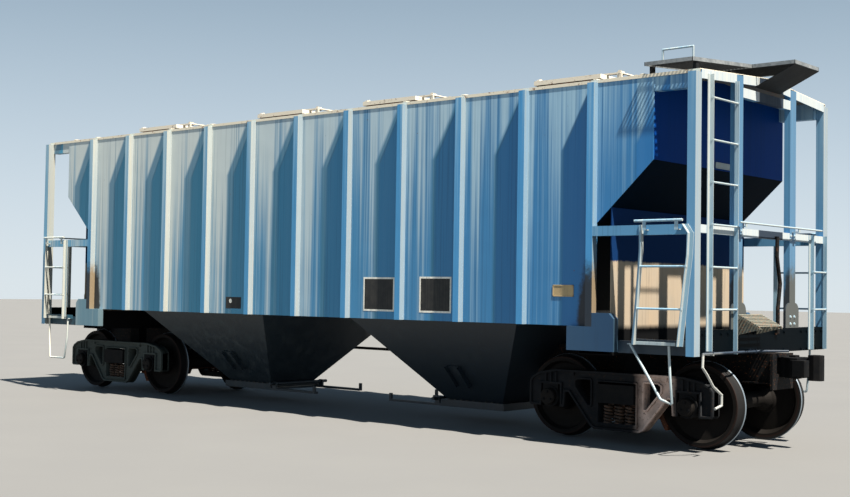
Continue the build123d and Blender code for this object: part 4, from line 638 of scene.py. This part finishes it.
places = []
for end in (1, -1):
    for z in RUNG_ZS:
        low = z < MID_BEAM_TOP
        for stiles in (END_LADDER, LOW_LADDER) if low else (END_LADDER,):
            for y, way in zip(stiles, (-1, 1)):
                places.append(((end * (END_X + RUNG_OUT), end * y, z), (0, end * way, 0)))
        for side in (-1, 1) if low else ():
            for i, way in ((0, -1), (1, 1)):
                leaned = lean(KNOCKED[i], z) if (end, side) == (1, -1) else 0
                x = end * SIDE_LADDER[i] + leaned
                places.append(((x, side * (POST_FACE_Y + RUNG_OUT), z), (end * way, 0, 0)))
    for y in (-END_POST_Y, END_POST_Y):
        for dy in (-0.05, 0.05):
            for z in (1.36, 1.44, 2.33, 2.37):
                places.append(((end * END_X, y + dy, z), (end, 0, 0)))
bolts("end_bolt_heads", places, 0.013, 0.012, iron_enamel, "car_body")
sill_bolt_ys = [side * y for side in (-1, 1) for y in (0.3, 0.45, 0.9, 1.05, 1.3, 1.45)]
places = [((end * END_X, y, z), (end, 0, 0)) for end in (1, -1) for z in (1.07, 1.27) for y in sill_bolt_ys]
bolts("sill_bolt_heads", places, 0.013, 0.012, sill_near_black, "car_body")

# brake steps: slats on two arms in place of the plain slope, worn to dull grey by boots
tread_enamel = dusty_enamel("worn_tread_enamel", "#565a54", "#686a60", 0.12, grain=20.0)
STEP_FALL = 0.52
STEP_SLATS = 9
ARM_FOOT, STEP_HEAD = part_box("brake_steps")[0][2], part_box("brake_steps")[1][2]
x0, x1, y0, y1 = 5.955, 6.205, -0.725, -0.18
drop = STEP_FALL * (x1 - x0)
step = bmesh.new()
slope = Matrix.Rotation(math.atan(STEP_FALL), 4, "Y")
for i in range(STEP_SLATS):
    run = (i + 0.5) * (x1 - x0) / STEP_SLATS
    for v in block(step, -0.009, 0.009, y0, y1, -0.012, -0.002):
        v.co = slope @ v.co + Vector((x0 + run, 0, STEP_HEAD - STEP_FALL * run))
for y in (y0 + 0.006, (y0 + y1) / 2, y1 - 0.006):
    bearer = ((x0, -0.008), (x1, -0.008 - drop), (x1, -0.03 - drop), (x0, -0.03))
    prism(step, [(x, y - 0.006, STEP_HEAD + dz) for x, dz in bearer], (0, 0.012, 0))
for y in (y0 + 0.06, y1 - 0.06):
    arm = ((END_X, ARM_FOOT), (END_X, ARM_FOOT + 0.1), (x0, STEP_HEAD - 0.028),
           (x1, STEP_HEAD - 0.028 - drop))
    prism(step, [(x, y - 0.005, z) for x, z in arm], (0, 0.01, 0))
again(step, HALF_TURN)
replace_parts(piece("slatted_brake_steps", step, tread_enamel, "car_body"), "brake_steps")


def curve_of(runs, flat=False):
    """A curve of straight runs: open in space, or closed and filled where flat."""
    curve = bpy.data.curves.new("runs", "CURVE")
    curve.dimensions = "2D" if flat else "3D"
    curve.fill_mode = "BOTH" if flat else "FULL"
    for points in runs:
        run = curve.splines.new("POLY")
        run.points.add(len(points) - 1)
        run.use_cyclic_u = flat
        for seat, point in zip(run.points, points):
            seat.co = (*point, 0, 1) if flat else (*point, 1)
    return curve


def pipe(work, points, radius):
    """Adds a round bar that runs through points, mitred at each bend."""
    curve = curve_of([points])
    curve.bevel_depth = radius
    curve.bevel_resolution = 2
    curve.use_fill_caps = True
    work.from_mesh(meshed(curve))


# stirrups: round bars bent to a U under each side ladder; the one at the front right corner is
# knocked forward, its inner leg drawn out and its tread short
STIRRUP_Y = 1.605
STRAIGHT = ((5.21, LADDER_FOOT), (5.22, 0.85), (5.285, 0.5354), (5.30, 0.5204), (5.675, 0.5204),
            (5.688, 0.5354), (5.72, 0.85), (5.725, LADDER_FOOT))
BENT = ((5.17, LADDER_FOOT), (5.41, 0.785), (5.53, 0.600), (5.545, 0.588), (5.66, 0.552), (5.672, 0.563),
        (5.645, 0.85), (5.63, LADDER_FOOT))
stirrups = bmesh.new()
foot_bars = bmesh.new()
for end in (1, -1):
    for side in (-1, 1):
        route = BENT if (end, side) == (1, -1) else STRAIGHT
        pipe(stirrups, [(end * x, side * STIRRUP_Y, z) for x, z in route], 0.014)
        for x in (route[0][0], route[-1][0]):
            block(stirrups, end * x - 0.03, end * x + 0.03, side * (STIRRUP_Y - 0.016),
                  side * (STIRRUP_Y + 0.016), LADDER_FOOT, LADDER_FOOT + 0.01)
        # a flat bar lies across each side ladder's foot
        block(foot_bars, end * 5.235, end * 5.72, side * POST_FACE_Y, side * (POST_FACE_Y + 0.008),
              1.148, 1.182)
step_enamel = weathered_enamel("worn_step_enamel", ("#93a5ae", "#9aaab0"), ("#c0c3bc", "#c6c4b8"), 0.35)
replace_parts(piece("bent_stirrups", stirrups, step_enamel, "car_body"), "sill_steps")
piece("ladder_foot_bars", foot_bars, step_enamel, "car_body", bevel=0.002)

# uncoupling levers: round steel rod, painted near black as painted shade everywhere but its hanging handle,
# which is worn pale
lever_coat, tree, shader, place = surface("uncoupling_lever_worn_and_shaded", roughness=0.65)
_, aside, up = add(tree, "ShaderNodeSeparateXYZ", {0: place}).node.outputs
aside = add(tree, "ShaderNodeMath", {0: aside}, operation="ABSOLUTE")
worn = add(tree, "ShaderNodeMapRange", {"Value": aside, "From Min": 1.15, "From Max": 1.25})
low = add(tree, "ShaderNodeMapRange", {"Value": up, "From Min": 1.09, "From Max": 1.05})
worn = add(tree, "ShaderNodeMath", {0: worn, 1: low}, operation="MULTIPLY")
patches = add(tree, "ShaderNodeTexNoise", {"Vector": place, "Scale": 30.0, "Detail": 6.0, "Roughness": 0.6})
black = laid_over(tree, linear("#0c1420"), linear("#25384c"), patches)
pale = laid_over(tree, linear("#7d8284"), linear("#a9aba6"), patches)
feed(shader, {"Base Color": laid_over(tree, black, pale, worn)})
wear(lever_coat, "uncoupling_levers")

# placard holders: a small blank plate in a folded rim, at the foot of each end wall
HOLDER_Y = (-0.20, 0.14)
HOLDER_Z = (3.112, 3.182)
holder = bmesh.new()
block(holder, 5.398, 5.402, *HOLDER_Y, *HOLDER_Z)
for foot in (HOLDER_Z[0], HOLDER_Z[1] - 0.008):
    block(holder, 5.398, 5.410, *HOLDER_Y, foot, foot + 0.008)
again(holder, HALF_TURN)
piece("blank_placard_holders", holder, iron_enamel, "car_body", bevel=0.001)


# Hopper bays and outlets: welded 8 mm funnels, flanged frames and sliding gates on racks. The bays
# are sprayed in a dark blue grey; dust, brake grime and rust cling to them; the gates are scoured bare.
bay_enamel = weathered_enamel("grimy_bay_enamel", ("#151f29", "#18242c"), ("#26333b", "#2e3a3f"), 0.12,
                              soot=0.5)
wear(bay_enamel, "hopper_bays", "outlet_frames")


def scoured_steel(name, code, light):
    """Bare rolled steel, rubbed along X by the load: fine scratches and brown film."""
    made, tree, shader, place = surface(name, metallic=0.85)
    # scratches 7 mm apart and 300 mm long
    scratches = streaks(tree, place, (3.0, 140.0, 140.0), 3.0)
    film = add(tree, "ShaderNodeTexNoise", {"Vector": place, "Scale": 4.0, "Detail": 7.0, "Roughness": 0.65})
    colour = laid_over(tree, linear(code), linear(light), scratches)
    colour = laid_over(tree, colour, linear("#3a281d"), film, 0.45, 0.7, 0.8)
    dulled = add(tree, "ShaderNodeMapRange", {"Value": film, "To Min": 0.35, "To Max": 0.7})
    bump = add(tree, "ShaderNodeBump", {"Height": scratches, "Strength": 0.15, "Distance": 0.001})
    feed(shader, {"Base Color": colour, "Roughness": dulled, "Normal": bump})
    return made


gate_steel = scoured_steel("scoured_gate_steel", "#4c4a47", "#777773")
wear(gate_steel, "outlet_gate_a", "outlet_gate_b")
FLANGE_X = 1.70
FLANGE_BOLT_Y = 0.46
FLANGE_Z = 0.2754
for name, end in (("a", 1), ("b", -1)):
    places = [((end * (FLANGE_X + 0.05 + i * 0.1), side * FLANGE_BOLT_Y, FLANGE_Z), (0, 0, 1))
              for i in range(9) for side in (-1, 1)]
    bolts(f"outlet_flange_bolts_{name}", places, 0.011, 0.010, gate_steel, "car_body")


# Underframe: draft sills, decks and air brake gear, welded and bolted, in black car cement and
# old enamel under a brown film of brake dust. Steel straps hold the air reservoir on its saddles.
def grimy_coat(name, base, dust, rust="#5b3a26", metallic=0.0, rough=0.7, grain=9.0, rust_share=0.08,
               lit_patch_and_rear_film=None, ior=1.5):
    """Dark coat under brake dust: clouds of dust, 110 mm across at a grain of 9, rust in fine spots and a
    rough sand-cast skin. lit_patch_and_rear_film is (from X, to X, sunlit_patch, rear): between them a pale
    patch with cloudy edges is painted light, standing for sunlight, and a grey film lies at the rear end."""
    made, tree, shader, place = surface(name, rough, metallic, ior)
    clouds = add(tree, "ShaderNodeTexNoise",
                 {"Vector": place, "Scale": grain, "Detail": 8.0, "Roughness": 0.62})
    colour = laid_over(tree, linear(base), linear(dust), clouds, 0.36, 0.68)
    # painted light: the pale patch between the two X stands for sunlight on the side frame
    if lit_patch_and_rear_film:
        x0, x1, sunlit_patch, rear = lit_patch_and_rear_film
        along = add(tree, "ShaderNodeSeparateXYZ", {0: place}, "X")
        colour = laid_over(tree, colour, linear(rear), along, 1.0, -1.0, 0.75)
        share = add(tree, "ShaderNodeMapRange",
                    {"Value": clouds, "From Min": 0.25, "From Max": 0.6, "To Min": 0.45})
        for start, end in ((x0, x0 + 0.15), (x1 + 0.08, x1)):
            within = add(tree, "ShaderNodeMapRange", {"Value": along, "From Min": start, "From Max": end})
            share = add(tree, "ShaderNodeMath", {0: share, 1: within}, operation="MULTIPLY")
        colour = laid_over(tree, colour, linear(sunlit_patch), share)
    fine = add(tree, "ShaderNodeTexNoise",
               {"Vector": place, "Scale": grain * 5, "Detail": 6.0, "Roughness": 0.7})
    colour = laid_over(tree, colour, linear(rust), fine, 0.66 - rust_share, 0.74 - rust_share)
    # sand-cast skin, about 2 mm grain, drawn at 6 mm so that it shows
    skin = add(tree, "ShaderNodeTexNoise", {"Vector": place, "Scale": 160.0, "Detail": 3.0})
    bump = add(tree, "ShaderNodeBump", {"Height": skin, "Strength": 0.35, "Distance": 0.002})
    feed(shader, {"Base Color": colour, "Normal": bump})
    return made


car_cement = grimy_coat("black_car_cement", "#080b0f", "#171717", ior=1.2)
deck_enamel = grimy_coat("dusty_deck_enamel", "#0b1c2e", "#242a2e", grain=5.0, ior=1.3)
cast_iron = grimy_coat("grimy_cast_gear", "#070a0e", "#131314", rust="#2b1e18", rust_share=0.04, ior=1.2)
wear(car_cement, "draft_sills", "brake_pipes")
wear(deck_enamel, "end_decks")
wear(cast_iron, "air_brake_gear")

TANK_X, TANK_R, TANK_Z = -5.23, 0.205, 1.3024
TANK_STRAPS = (1.08, 0.43)
STRAP_WIDTH = 0.044
gear = bmesh.new()
for y in TANK_STRAPS:
    turned(gear, (TANK_X, y - STRAP_WIDTH / 2, TANK_Z), (TANK_X, y + STRAP_WIDTH / 2, TANK_Z),
           [(0, TANK_R + 0.006), (STRAP_WIDTH, TANK_R + 0.006)], 36)
    for x in (TANK_X - TANK_R, TANK_X + TANK_R):
        block(gear, x - 0.03, x + 0.03, y - 0.03, y + 0.03, TANK_Z - 0.02, TANK_Z + 0.02)
pipe(gear, [(TANK_X, 0.18, 1.32), (-5.30, 0.12, 1.32), (-5.50, 0.12, 1.30), (-5.55, 0.2, 1.28)], 0.014)
pipe(gear, [(-5.60, 0.30, 1.38), (-5.60, 0.30, 1.46), (-5.42, 0.30, 1.46), (-5.30, -0.1, 1.46),
            (TANK_X, -0.50, 1.38)], 0.012)
piece("reservoir_straps_and_pipes", gear, car_cement, "car_body", bevel=0.002)

# couplers: cast heads with a guard arm, a pivoted knuckle and its pin, on a square shank
COUPLER_Z = (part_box("coupler_a")[0][2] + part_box("coupler_a")[1][2]) / 2
SHANK_X = (5.50, 6.17)
SHANK_HALF_Y = 0.065


def plan(work, points, half):
    """Adds a block with an outline of (x, y) points, half its height either way of the coupler's middle."""
    prism(work, [(x, y, COUPLER_Z - half) for x, y in points], (0, 0, 2 * half))


for name, move in (("a", Matrix.Identity(4)), ("b", HALF_TURN)):
    head = bmesh.new()
    block(head, *SHANK_X, -SHANK_HALF_Y, SHANK_HALF_Y, COUPLER_Z - 0.07, COUPLER_Z + 0.07)
    plan(head, ((6.13, -0.075), (6.20, -0.10), (6.29, -0.18), (6.38, -0.19), (6.385, -0.08), (6.36, -0.03),
                (6.375, 0.07), (6.42, 0.10), (6.42, 0.15), (6.38, 0.185), (6.28, 0.15), (6.20, 0.10),
                (6.13, 0.075)), 0.112)
    plan(head, ((6.28, -0.175), (6.33, -0.205), (6.47, -0.215), (6.485, -0.20), (6.49, -0.13), (6.40, -0.11),
                (6.36, -0.08)), 0.09)
    plan(head, ((6.40, 0.03), (6.47, 0.02), (6.535, 0.035), (6.55, 0.06), (6.55, 0.12), (6.53, 0.15),
                (6.47, 0.18), (6.41, 0.185), (6.39, 0.12)), 0.139)
    plan(head, ((6.42, 0.06), (6.50, 0.06), (6.51, 0.10), (6.42, 0.11)), 0.05)
    turned(head, (6.44, 0.14, COUPLER_Z - 0.14), (6.44, 0.14, COUPLER_Z + 1), [(0, 0.021), (0.28, 0.021)], 16)
    block(head, 6.22, 6.30, -0.05, 0.05, COUPLER_Z + 0.10, COUPLER_Z + 0.135)
    for z in (-0.06, 0.0, 0.06):
        block(head, 6.16, 6.30, -0.02, 0.02, COUPLER_Z + z - 0.006, COUPLER_Z + z + 0.006)
    bmesh.ops.transform(head, matrix=move, verts=head.verts[:])
    cast = piece(f"knuckle_coupler_{name}", head, cast_iron, f"coupler_{name}", bevel=0.008)
    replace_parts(cast, f"coupler_{name}")


# Trucks: cast steel side frames with flanged edges, coil spring nests, bolsters, brake beams and
# one-wear wheels, held together by weight and pins. Brake dust covers all but the worn wheel rims.
# The side frames are near black, darkened also as painted shade of the car above them, and the forward
# truck's frames carry a pale painted patch of sunlight towards their outer end.
# the flanges stand on the floor, so the rail's top would be 25.4 mm up
RAIL = 0.0254
WHEEL_R = 0.4572
AXLE_Z = RAIL + WHEEL_R
WHEELBASE = 1.778
TRUCK_X = (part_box("truck_bolster_a")[0][0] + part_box("truck_bolster_a")[1][0]) / 2
JOURNAL_Y = 1.003
FRAME_LOW, FRAME_TOP = (corner[2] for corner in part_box("side_frames_a"))
SEAT_Z, SPRING_TOP = (corner[2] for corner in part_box("springs_a"))
JAW_TOP = 0.6266
WEB_HALF = 0.050
FLANGE_HALF = 0.078
WINDOW_HALF = 0.262
frame_cast = grimy_coat("dusty_cast_side_frame_painted_sun", "#0b0f14", "#1a1c1f", rust="#2b211c", rough=0.8, grain=6.0,
                        lit_patch_and_rear_film=(4.88, 5.34, "#c8b0a4", "#414947"), ior=1.25)
shoe_rust = grimy_coat("rusty_brake_beam", "#2c1e17", "#6b3c24", rust="#b5602c", rough=0.8)
wear(cast_iron, "truck_bolster_a", "truck_bolster_b", "bearings_a", "bearings_b")
wear(shoe_rust, "brake_beams_a", "brake_beams_b")


def inset(points, reach):
    """Moves each side of a closed outline inward by reach; its points run clockwise or the other way."""
    area = sum(a[0] * b[1] - b[0] * a[1] for a, b in zip(points, points[1:] + points[:1]))
    reach = math.copysign(reach, area)
    ring = [Vector(p) for p in points]
    moved = []
    for i, corner in enumerate(ring):
        before = (corner - ring[i - 1]).normalized()
        after = (ring[(i + 1) % len(ring)] - corner).normalized()
        bisect = Vector((-before.y - after.y, before.x + after.x))
        moved.append(tuple(corner + bisect * (reach * 2 / max(bisect.length_squared, 1.0))))
    return moved


def cut_plate(work, outlines, y, half, rounding=0.004):
    """Adds an upright plate about y: the first (x, z) outline is its edge, the others are holes."""
    curve = curve_of(outlines, flat=True)
    curve.extrude = half - rounding
    curve.bevel_depth = rounding
    curve.bevel_resolution = 1
    curve.offset = -rounding
    flat = meshed(curve)
    flat.transform(Matrix.Translation((0, y, 0)) @ Matrix.Rotation(math.pi / 2, 4, "X"))
    work.from_mesh(flat)


half_edge = [(0.822, FRAME_TOP), (1.049, 0.7604), (1.150, 0.7054), (1.185, 0.655), (1.185, 0.40),
             (1.165, 0.3726), (1.019, 0.3726), (1.019, JAW_TOP), (0.759, JAW_TOP), (0.759, 0.3726),
             (0.700, 0.3726), (0.690, 0.545), (0.640, 0.545), (0.345, 0.185), (0.290, FRAME_LOW)]
edge = half_edge + [(-x, z) for x, z in reversed(half_edge)]
nest = [(-WINDOW_HALF, SEAT_Z), (-WINDOW_HALF, 0.690), (-0.245, 0.7054), (0.245, 0.7054),
        (WINDOW_HALF, 0.690), (WINDOW_HALF, SEAT_Z)]
eye = [(0.325, 0.420), (0.325, 0.700), (0.345, 0.720), (0.525, 0.720), (0.575, 0.685), (0.570, 0.610),
       (0.390, 0.400), (0.350, 0.395)]
far_eye = [(-x, z) for x, z in reversed(eye)]
RIB_FOOT_Y = -JOURNAL_Y - 0.04
for name, centre in (("a", TRUCK_X), ("b", -TRUCK_X)):
    casting = bmesh.new()
    outline, *holes = [[(x + centre, z) for x, z in run] for run in (edge, nest, eye, far_eye)]
    cut_plate(casting, [outline, *holes], -JOURNAL_Y, WEB_HALF)
    cut_plate(casting, [outline, inset(outline, 0.026)], -JOURNAL_Y, FLANGE_HALF)
    for hole in holes:
        cut_plate(casting, [inset(hole, -0.020), hole], -JOURNAL_Y, FLANGE_HALF - 0.006)
    for side in (-1, 1):
        # ribs over the journal opening, and lugs at the jaw
        for dx in (-0.07, 0.0, 0.07):
            x = centre + side * WHEELBASE / 2 + dx
            block(casting, x - 0.009, x + 0.009, -JOURNAL_Y - 0.074, RIB_FOOT_Y, JAW_TOP + 0.01, 0.765)
        x = centre + side * 0.60
        block(casting, x - 0.03, x + 0.03, -JOURNAL_Y - 0.076, RIB_FOOT_Y, 0.735, 0.775)
    # the spring seat's lip
    block(casting, centre - WINDOW_HALF, centre + WINDOW_HALF, -JOURNAL_Y - FLANGE_HALF,
          -JOURNAL_Y + FLANGE_HALF, 0.200, SEAT_Z)
    bmesh.ops.remove_doubles(casting, verts=casting.verts[:], dist=0.00005)
    again(casting, OTHER_SIDE)
    cast = piece(f"cast_side_frames_{name}", casting, frame_cast, f"truck_{name}")
    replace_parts(cast, f"side_frames_{name}")

# one tree winds a row of coil springs: a helix of round wire between the seat and the bolster
coil_row, given = tree_of("row_of_coils", (*ROW, ("Radius", "Float"), ("Height", "Float"),
                                           ("Turns", "Float"), ("Wire", "Float")))
helix = add(coil_row, "GeometryNodeCurveSpiral",
            {"Resolution": 20, "Rotations": given["Turns"], "Start Radius": given["Radius"],
             "End Radius": given["Radius"], "Height": given["Height"]})
section = add(coil_row, "GeometryNodeCurvePrimitiveCircle", {"Resolution": 8, "Radius": given["Wire"]})
coil = add(coil_row, "GeometryNodeCurveToMesh", {"Curve": helix, "Profile Curve": section, "Fill Caps": True})
close_tree(coil_row, given, row_seats(coil_row, given), coil)

SPRING_PITCH = 0.14
spring_steel = grimy_coat("grimy_spring_steel", "#1a1613", "#57453a", metallic=0.4, grain=14.0,
                          rust="#7a4a2b")
for name, centre in (("a", TRUCK_X), ("b", -TRUCK_X)):
    coils = bmesh.new()
    for side in (-1, 1):
        for radius, wire, turns in ((0.049, 0.0125, 6.0), (0.024, 0.008, 8.0)):
            sizes = {"Count": 3, "First": (centre - SPRING_PITCH, side * JOURNAL_Y, SEAT_Z + wire),
                     "Step": (SPRING_PITCH, 0, 0), "Radius": radius, "Turns": turns, "Wire": wire,
                     "Height": SPRING_TOP - SEAT_Z - 2 * wire, "Finish": spring_steel}
            coils.from_mesh(meshed(bpy.data.meshes.new("row"), coil_row, sizes))
    cast = piece(f"coil_springs_{name}", coils, spring_steel, f"truck_{name}", smooth=True)
    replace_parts(cast, f"springs_{name}")

# wheels: forged steel, rusty brown and brake-black by rings about the axle, the flange's edge polished
wheel_steel, tree, shader, place = surface("brake_dusted_wheel_steel", roughness=0.6, metallic=0.7)
x, _, z = add(tree, "ShaderNodeSeparateXYZ", {0: place}).node.outputs
for middle in (TRUCK_X, WHEELBASE / 2):
    x = add(tree, "ShaderNodeMath", {0: x}, operation="ABSOLUTE")
    x = add(tree, "ShaderNodeMath", {0: x, 1: middle}, operation="SUBTRACT")
z = add(tree, "ShaderNodeMath", {0: z, 1: AXLE_Z}, operation="SUBTRACT")
flat = add(tree, "ShaderNodeCombineXYZ", {"X": x, "Y": z})
radius = add(tree, "ShaderNodeVectorMath", {0: flat}, "Value", operation="LENGTH")
film = add(tree, "ShaderNodeTexNoise", {"Vector": place, "Scale": 12.0, "Detail": 7.0, "Roughness": 0.62})
colour = laid_over(tree, linear("#090909"), linear("#1b1715"), film)
colour = laid_over(tree, colour, linear("#2a1b17"), radius, WHEEL_R - 0.030, WHEEL_R - 0.020, 0.7)
colour = laid_over(tree, colour, linear("#1c1e20"), radius, WHEEL_R - 0.010, WHEEL_R - 0.004, 0.9)
bright = add(tree, "ShaderNodeMapRange",
             {"Value": radius, "From Min": WHEEL_R + 0.018, "From Max": WHEEL_R + 0.022})
colour = laid_over(tree, colour, linear("#8c9aa6"), bright)
polish = add(tree, "ShaderNodeMapRange", {"Value": bright, "To Min": 0.75, "To Max": 0.38})
# lathe rings, 7 mm apart
rings = add(tree, "ShaderNodeMath", {0: radius, 1: 900.0}, operation="MULTIPLY")
rings = add(tree, "ShaderNodeMath", {0: rings}, operation="SINE")
bump = add(tree, "ShaderNodeBump", {"Height": rings, "Strength": 0.08, "Distance": 0.001})
feed(shader, {"Base Color": colour, "Roughness": polish, "Normal": bump})

CAP_END_Y = 1.15
SCREW_RING_R = 0.055
for truck, way in (("a", 1), ("b", -1)):
    for axle, side_of_centre in ((1, 1), (2, -1)):
        number = f"{truck}{axle}"
        x = way * (TRUCK_X + side_of_centre * WHEELBASE / 2)
        wear(wheel_steel, f"wheelset_{number}")
        ring = [(x + SCREW_RING_R * math.cos(turn), AXLE_Z + SCREW_RING_R * math.sin(turn))
                for turn in (math.radians(90), math.radians(210), math.radians(330))]
        places = [((sx, side * CAP_END_Y, sz), (0, side, 0)) for side in (-1, 1) for sx, sz in ring]
        bolts(f"cap_screws_{number}", places, 0.014, 0.012, cast_iron, f"wheelset_{number}")


# Stage: a plain pale floor, a warm key light as high as an afternoon sun, and soft light from a
# pale dome that is brighter low down.
floor_paint, tree, shader, place = surface("pale_floor", roughness=0.9)
mottle = add(tree, "ShaderNodeTexNoise", {"Vector": place, "Scale": 0.6, "Detail": 4.0})
feed(shader, {"Base Color": laid_over(tree, linear("#5e6062"), linear("#646667"), mottle)})
ground = bmesh.new()
bmesh.ops.create_grid(ground, x_segments=1, y_segments=1, size=120)
shape = bpy.data.meshes.new("floor")
ground.to_mesh(shape)
ground.free()
floor = bpy.data.objects.new("floor", shape)
shape.materials.append(floor_paint)
bpy.context.scene.collection.objects.link(floor)

world = bpy.data.worlds.new("dome")
world.use_nodes = True
tree = world.node_tree
sky = add(tree, "ShaderNodeTexCoord", out="Generated")
up = add(tree, "ShaderNodeSeparateXYZ", {0: sky}, "Z")
glow = add(tree, "ShaderNodeMapRange", {"Value": up, "From Max": 0.4, "To Min": 0.82, "To Max": 0.36},
           interpolation_type="SMOOTHSTEP")
tint = laid_over(tree, (0.86, 0.95, 1.0, 1.0), (0.42, 0.70, 1.0, 1.0), up, 0.0, 0.4)
feed(tree.nodes["Background"], {"Color": tint, "Strength": glow})
bpy.context.scene.world = world

sun = bpy.data.objects.new("key", bpy.data.lights.new("key", "SUN"))
sun.data.energy = 15.0
sun.data.angle = math.radians(0.9)
sun.data.color = (1.0, 0.9, 0.77)
ray = Vector((-1.0, 0.23, -1.85)).normalized()
sun.matrix_world = (-ray).to_track_quat("Z", "Y").to_matrix().to_4x4()
bpy.context.scene.collection.objects.link(sun)
bpy.context.scene.view_settings.view_transform = "Standard"

# Camera: at the photograph's viewing angle, at eye height ahead of the car's right corner.
EYE = Vector((12.26, -13.11, 1.65 + RAIL))
SENSOR = 36.0
PHOTO_WIDTH = 850
FOCAL_PIXELS = 1263.4
yaw, pitch, roll = (math.radians(a) for a in (40.92, 1.92, 0.87))
ahead = Vector((-math.sin(yaw) * math.cos(pitch), math.cos(yaw) * math.cos(pitch), math.sin(pitch)))
level = Vector((math.cos(yaw), math.sin(yaw), 0))
right = level * math.cos(roll) + level.cross(ahead) * math.sin(roll)
over = right.cross(ahead)
lens = bpy.data.objects.new("camera", bpy.data.cameras.new("camera"))
lens.data.sensor_width = SENSOR
lens.data.lens = SENSOR * FOCAL_PIXELS / PHOTO_WIDTH
lens.data.clip_end = 500.0
turned_axes = Matrix((right, over, -ahead)).transposed().to_4x4()
lens.matrix_world = Matrix.Translation(EYE) @ turned_axes
bpy.context.scene.collection.objects.link(lens)
bpy.context.scene.camera = lens
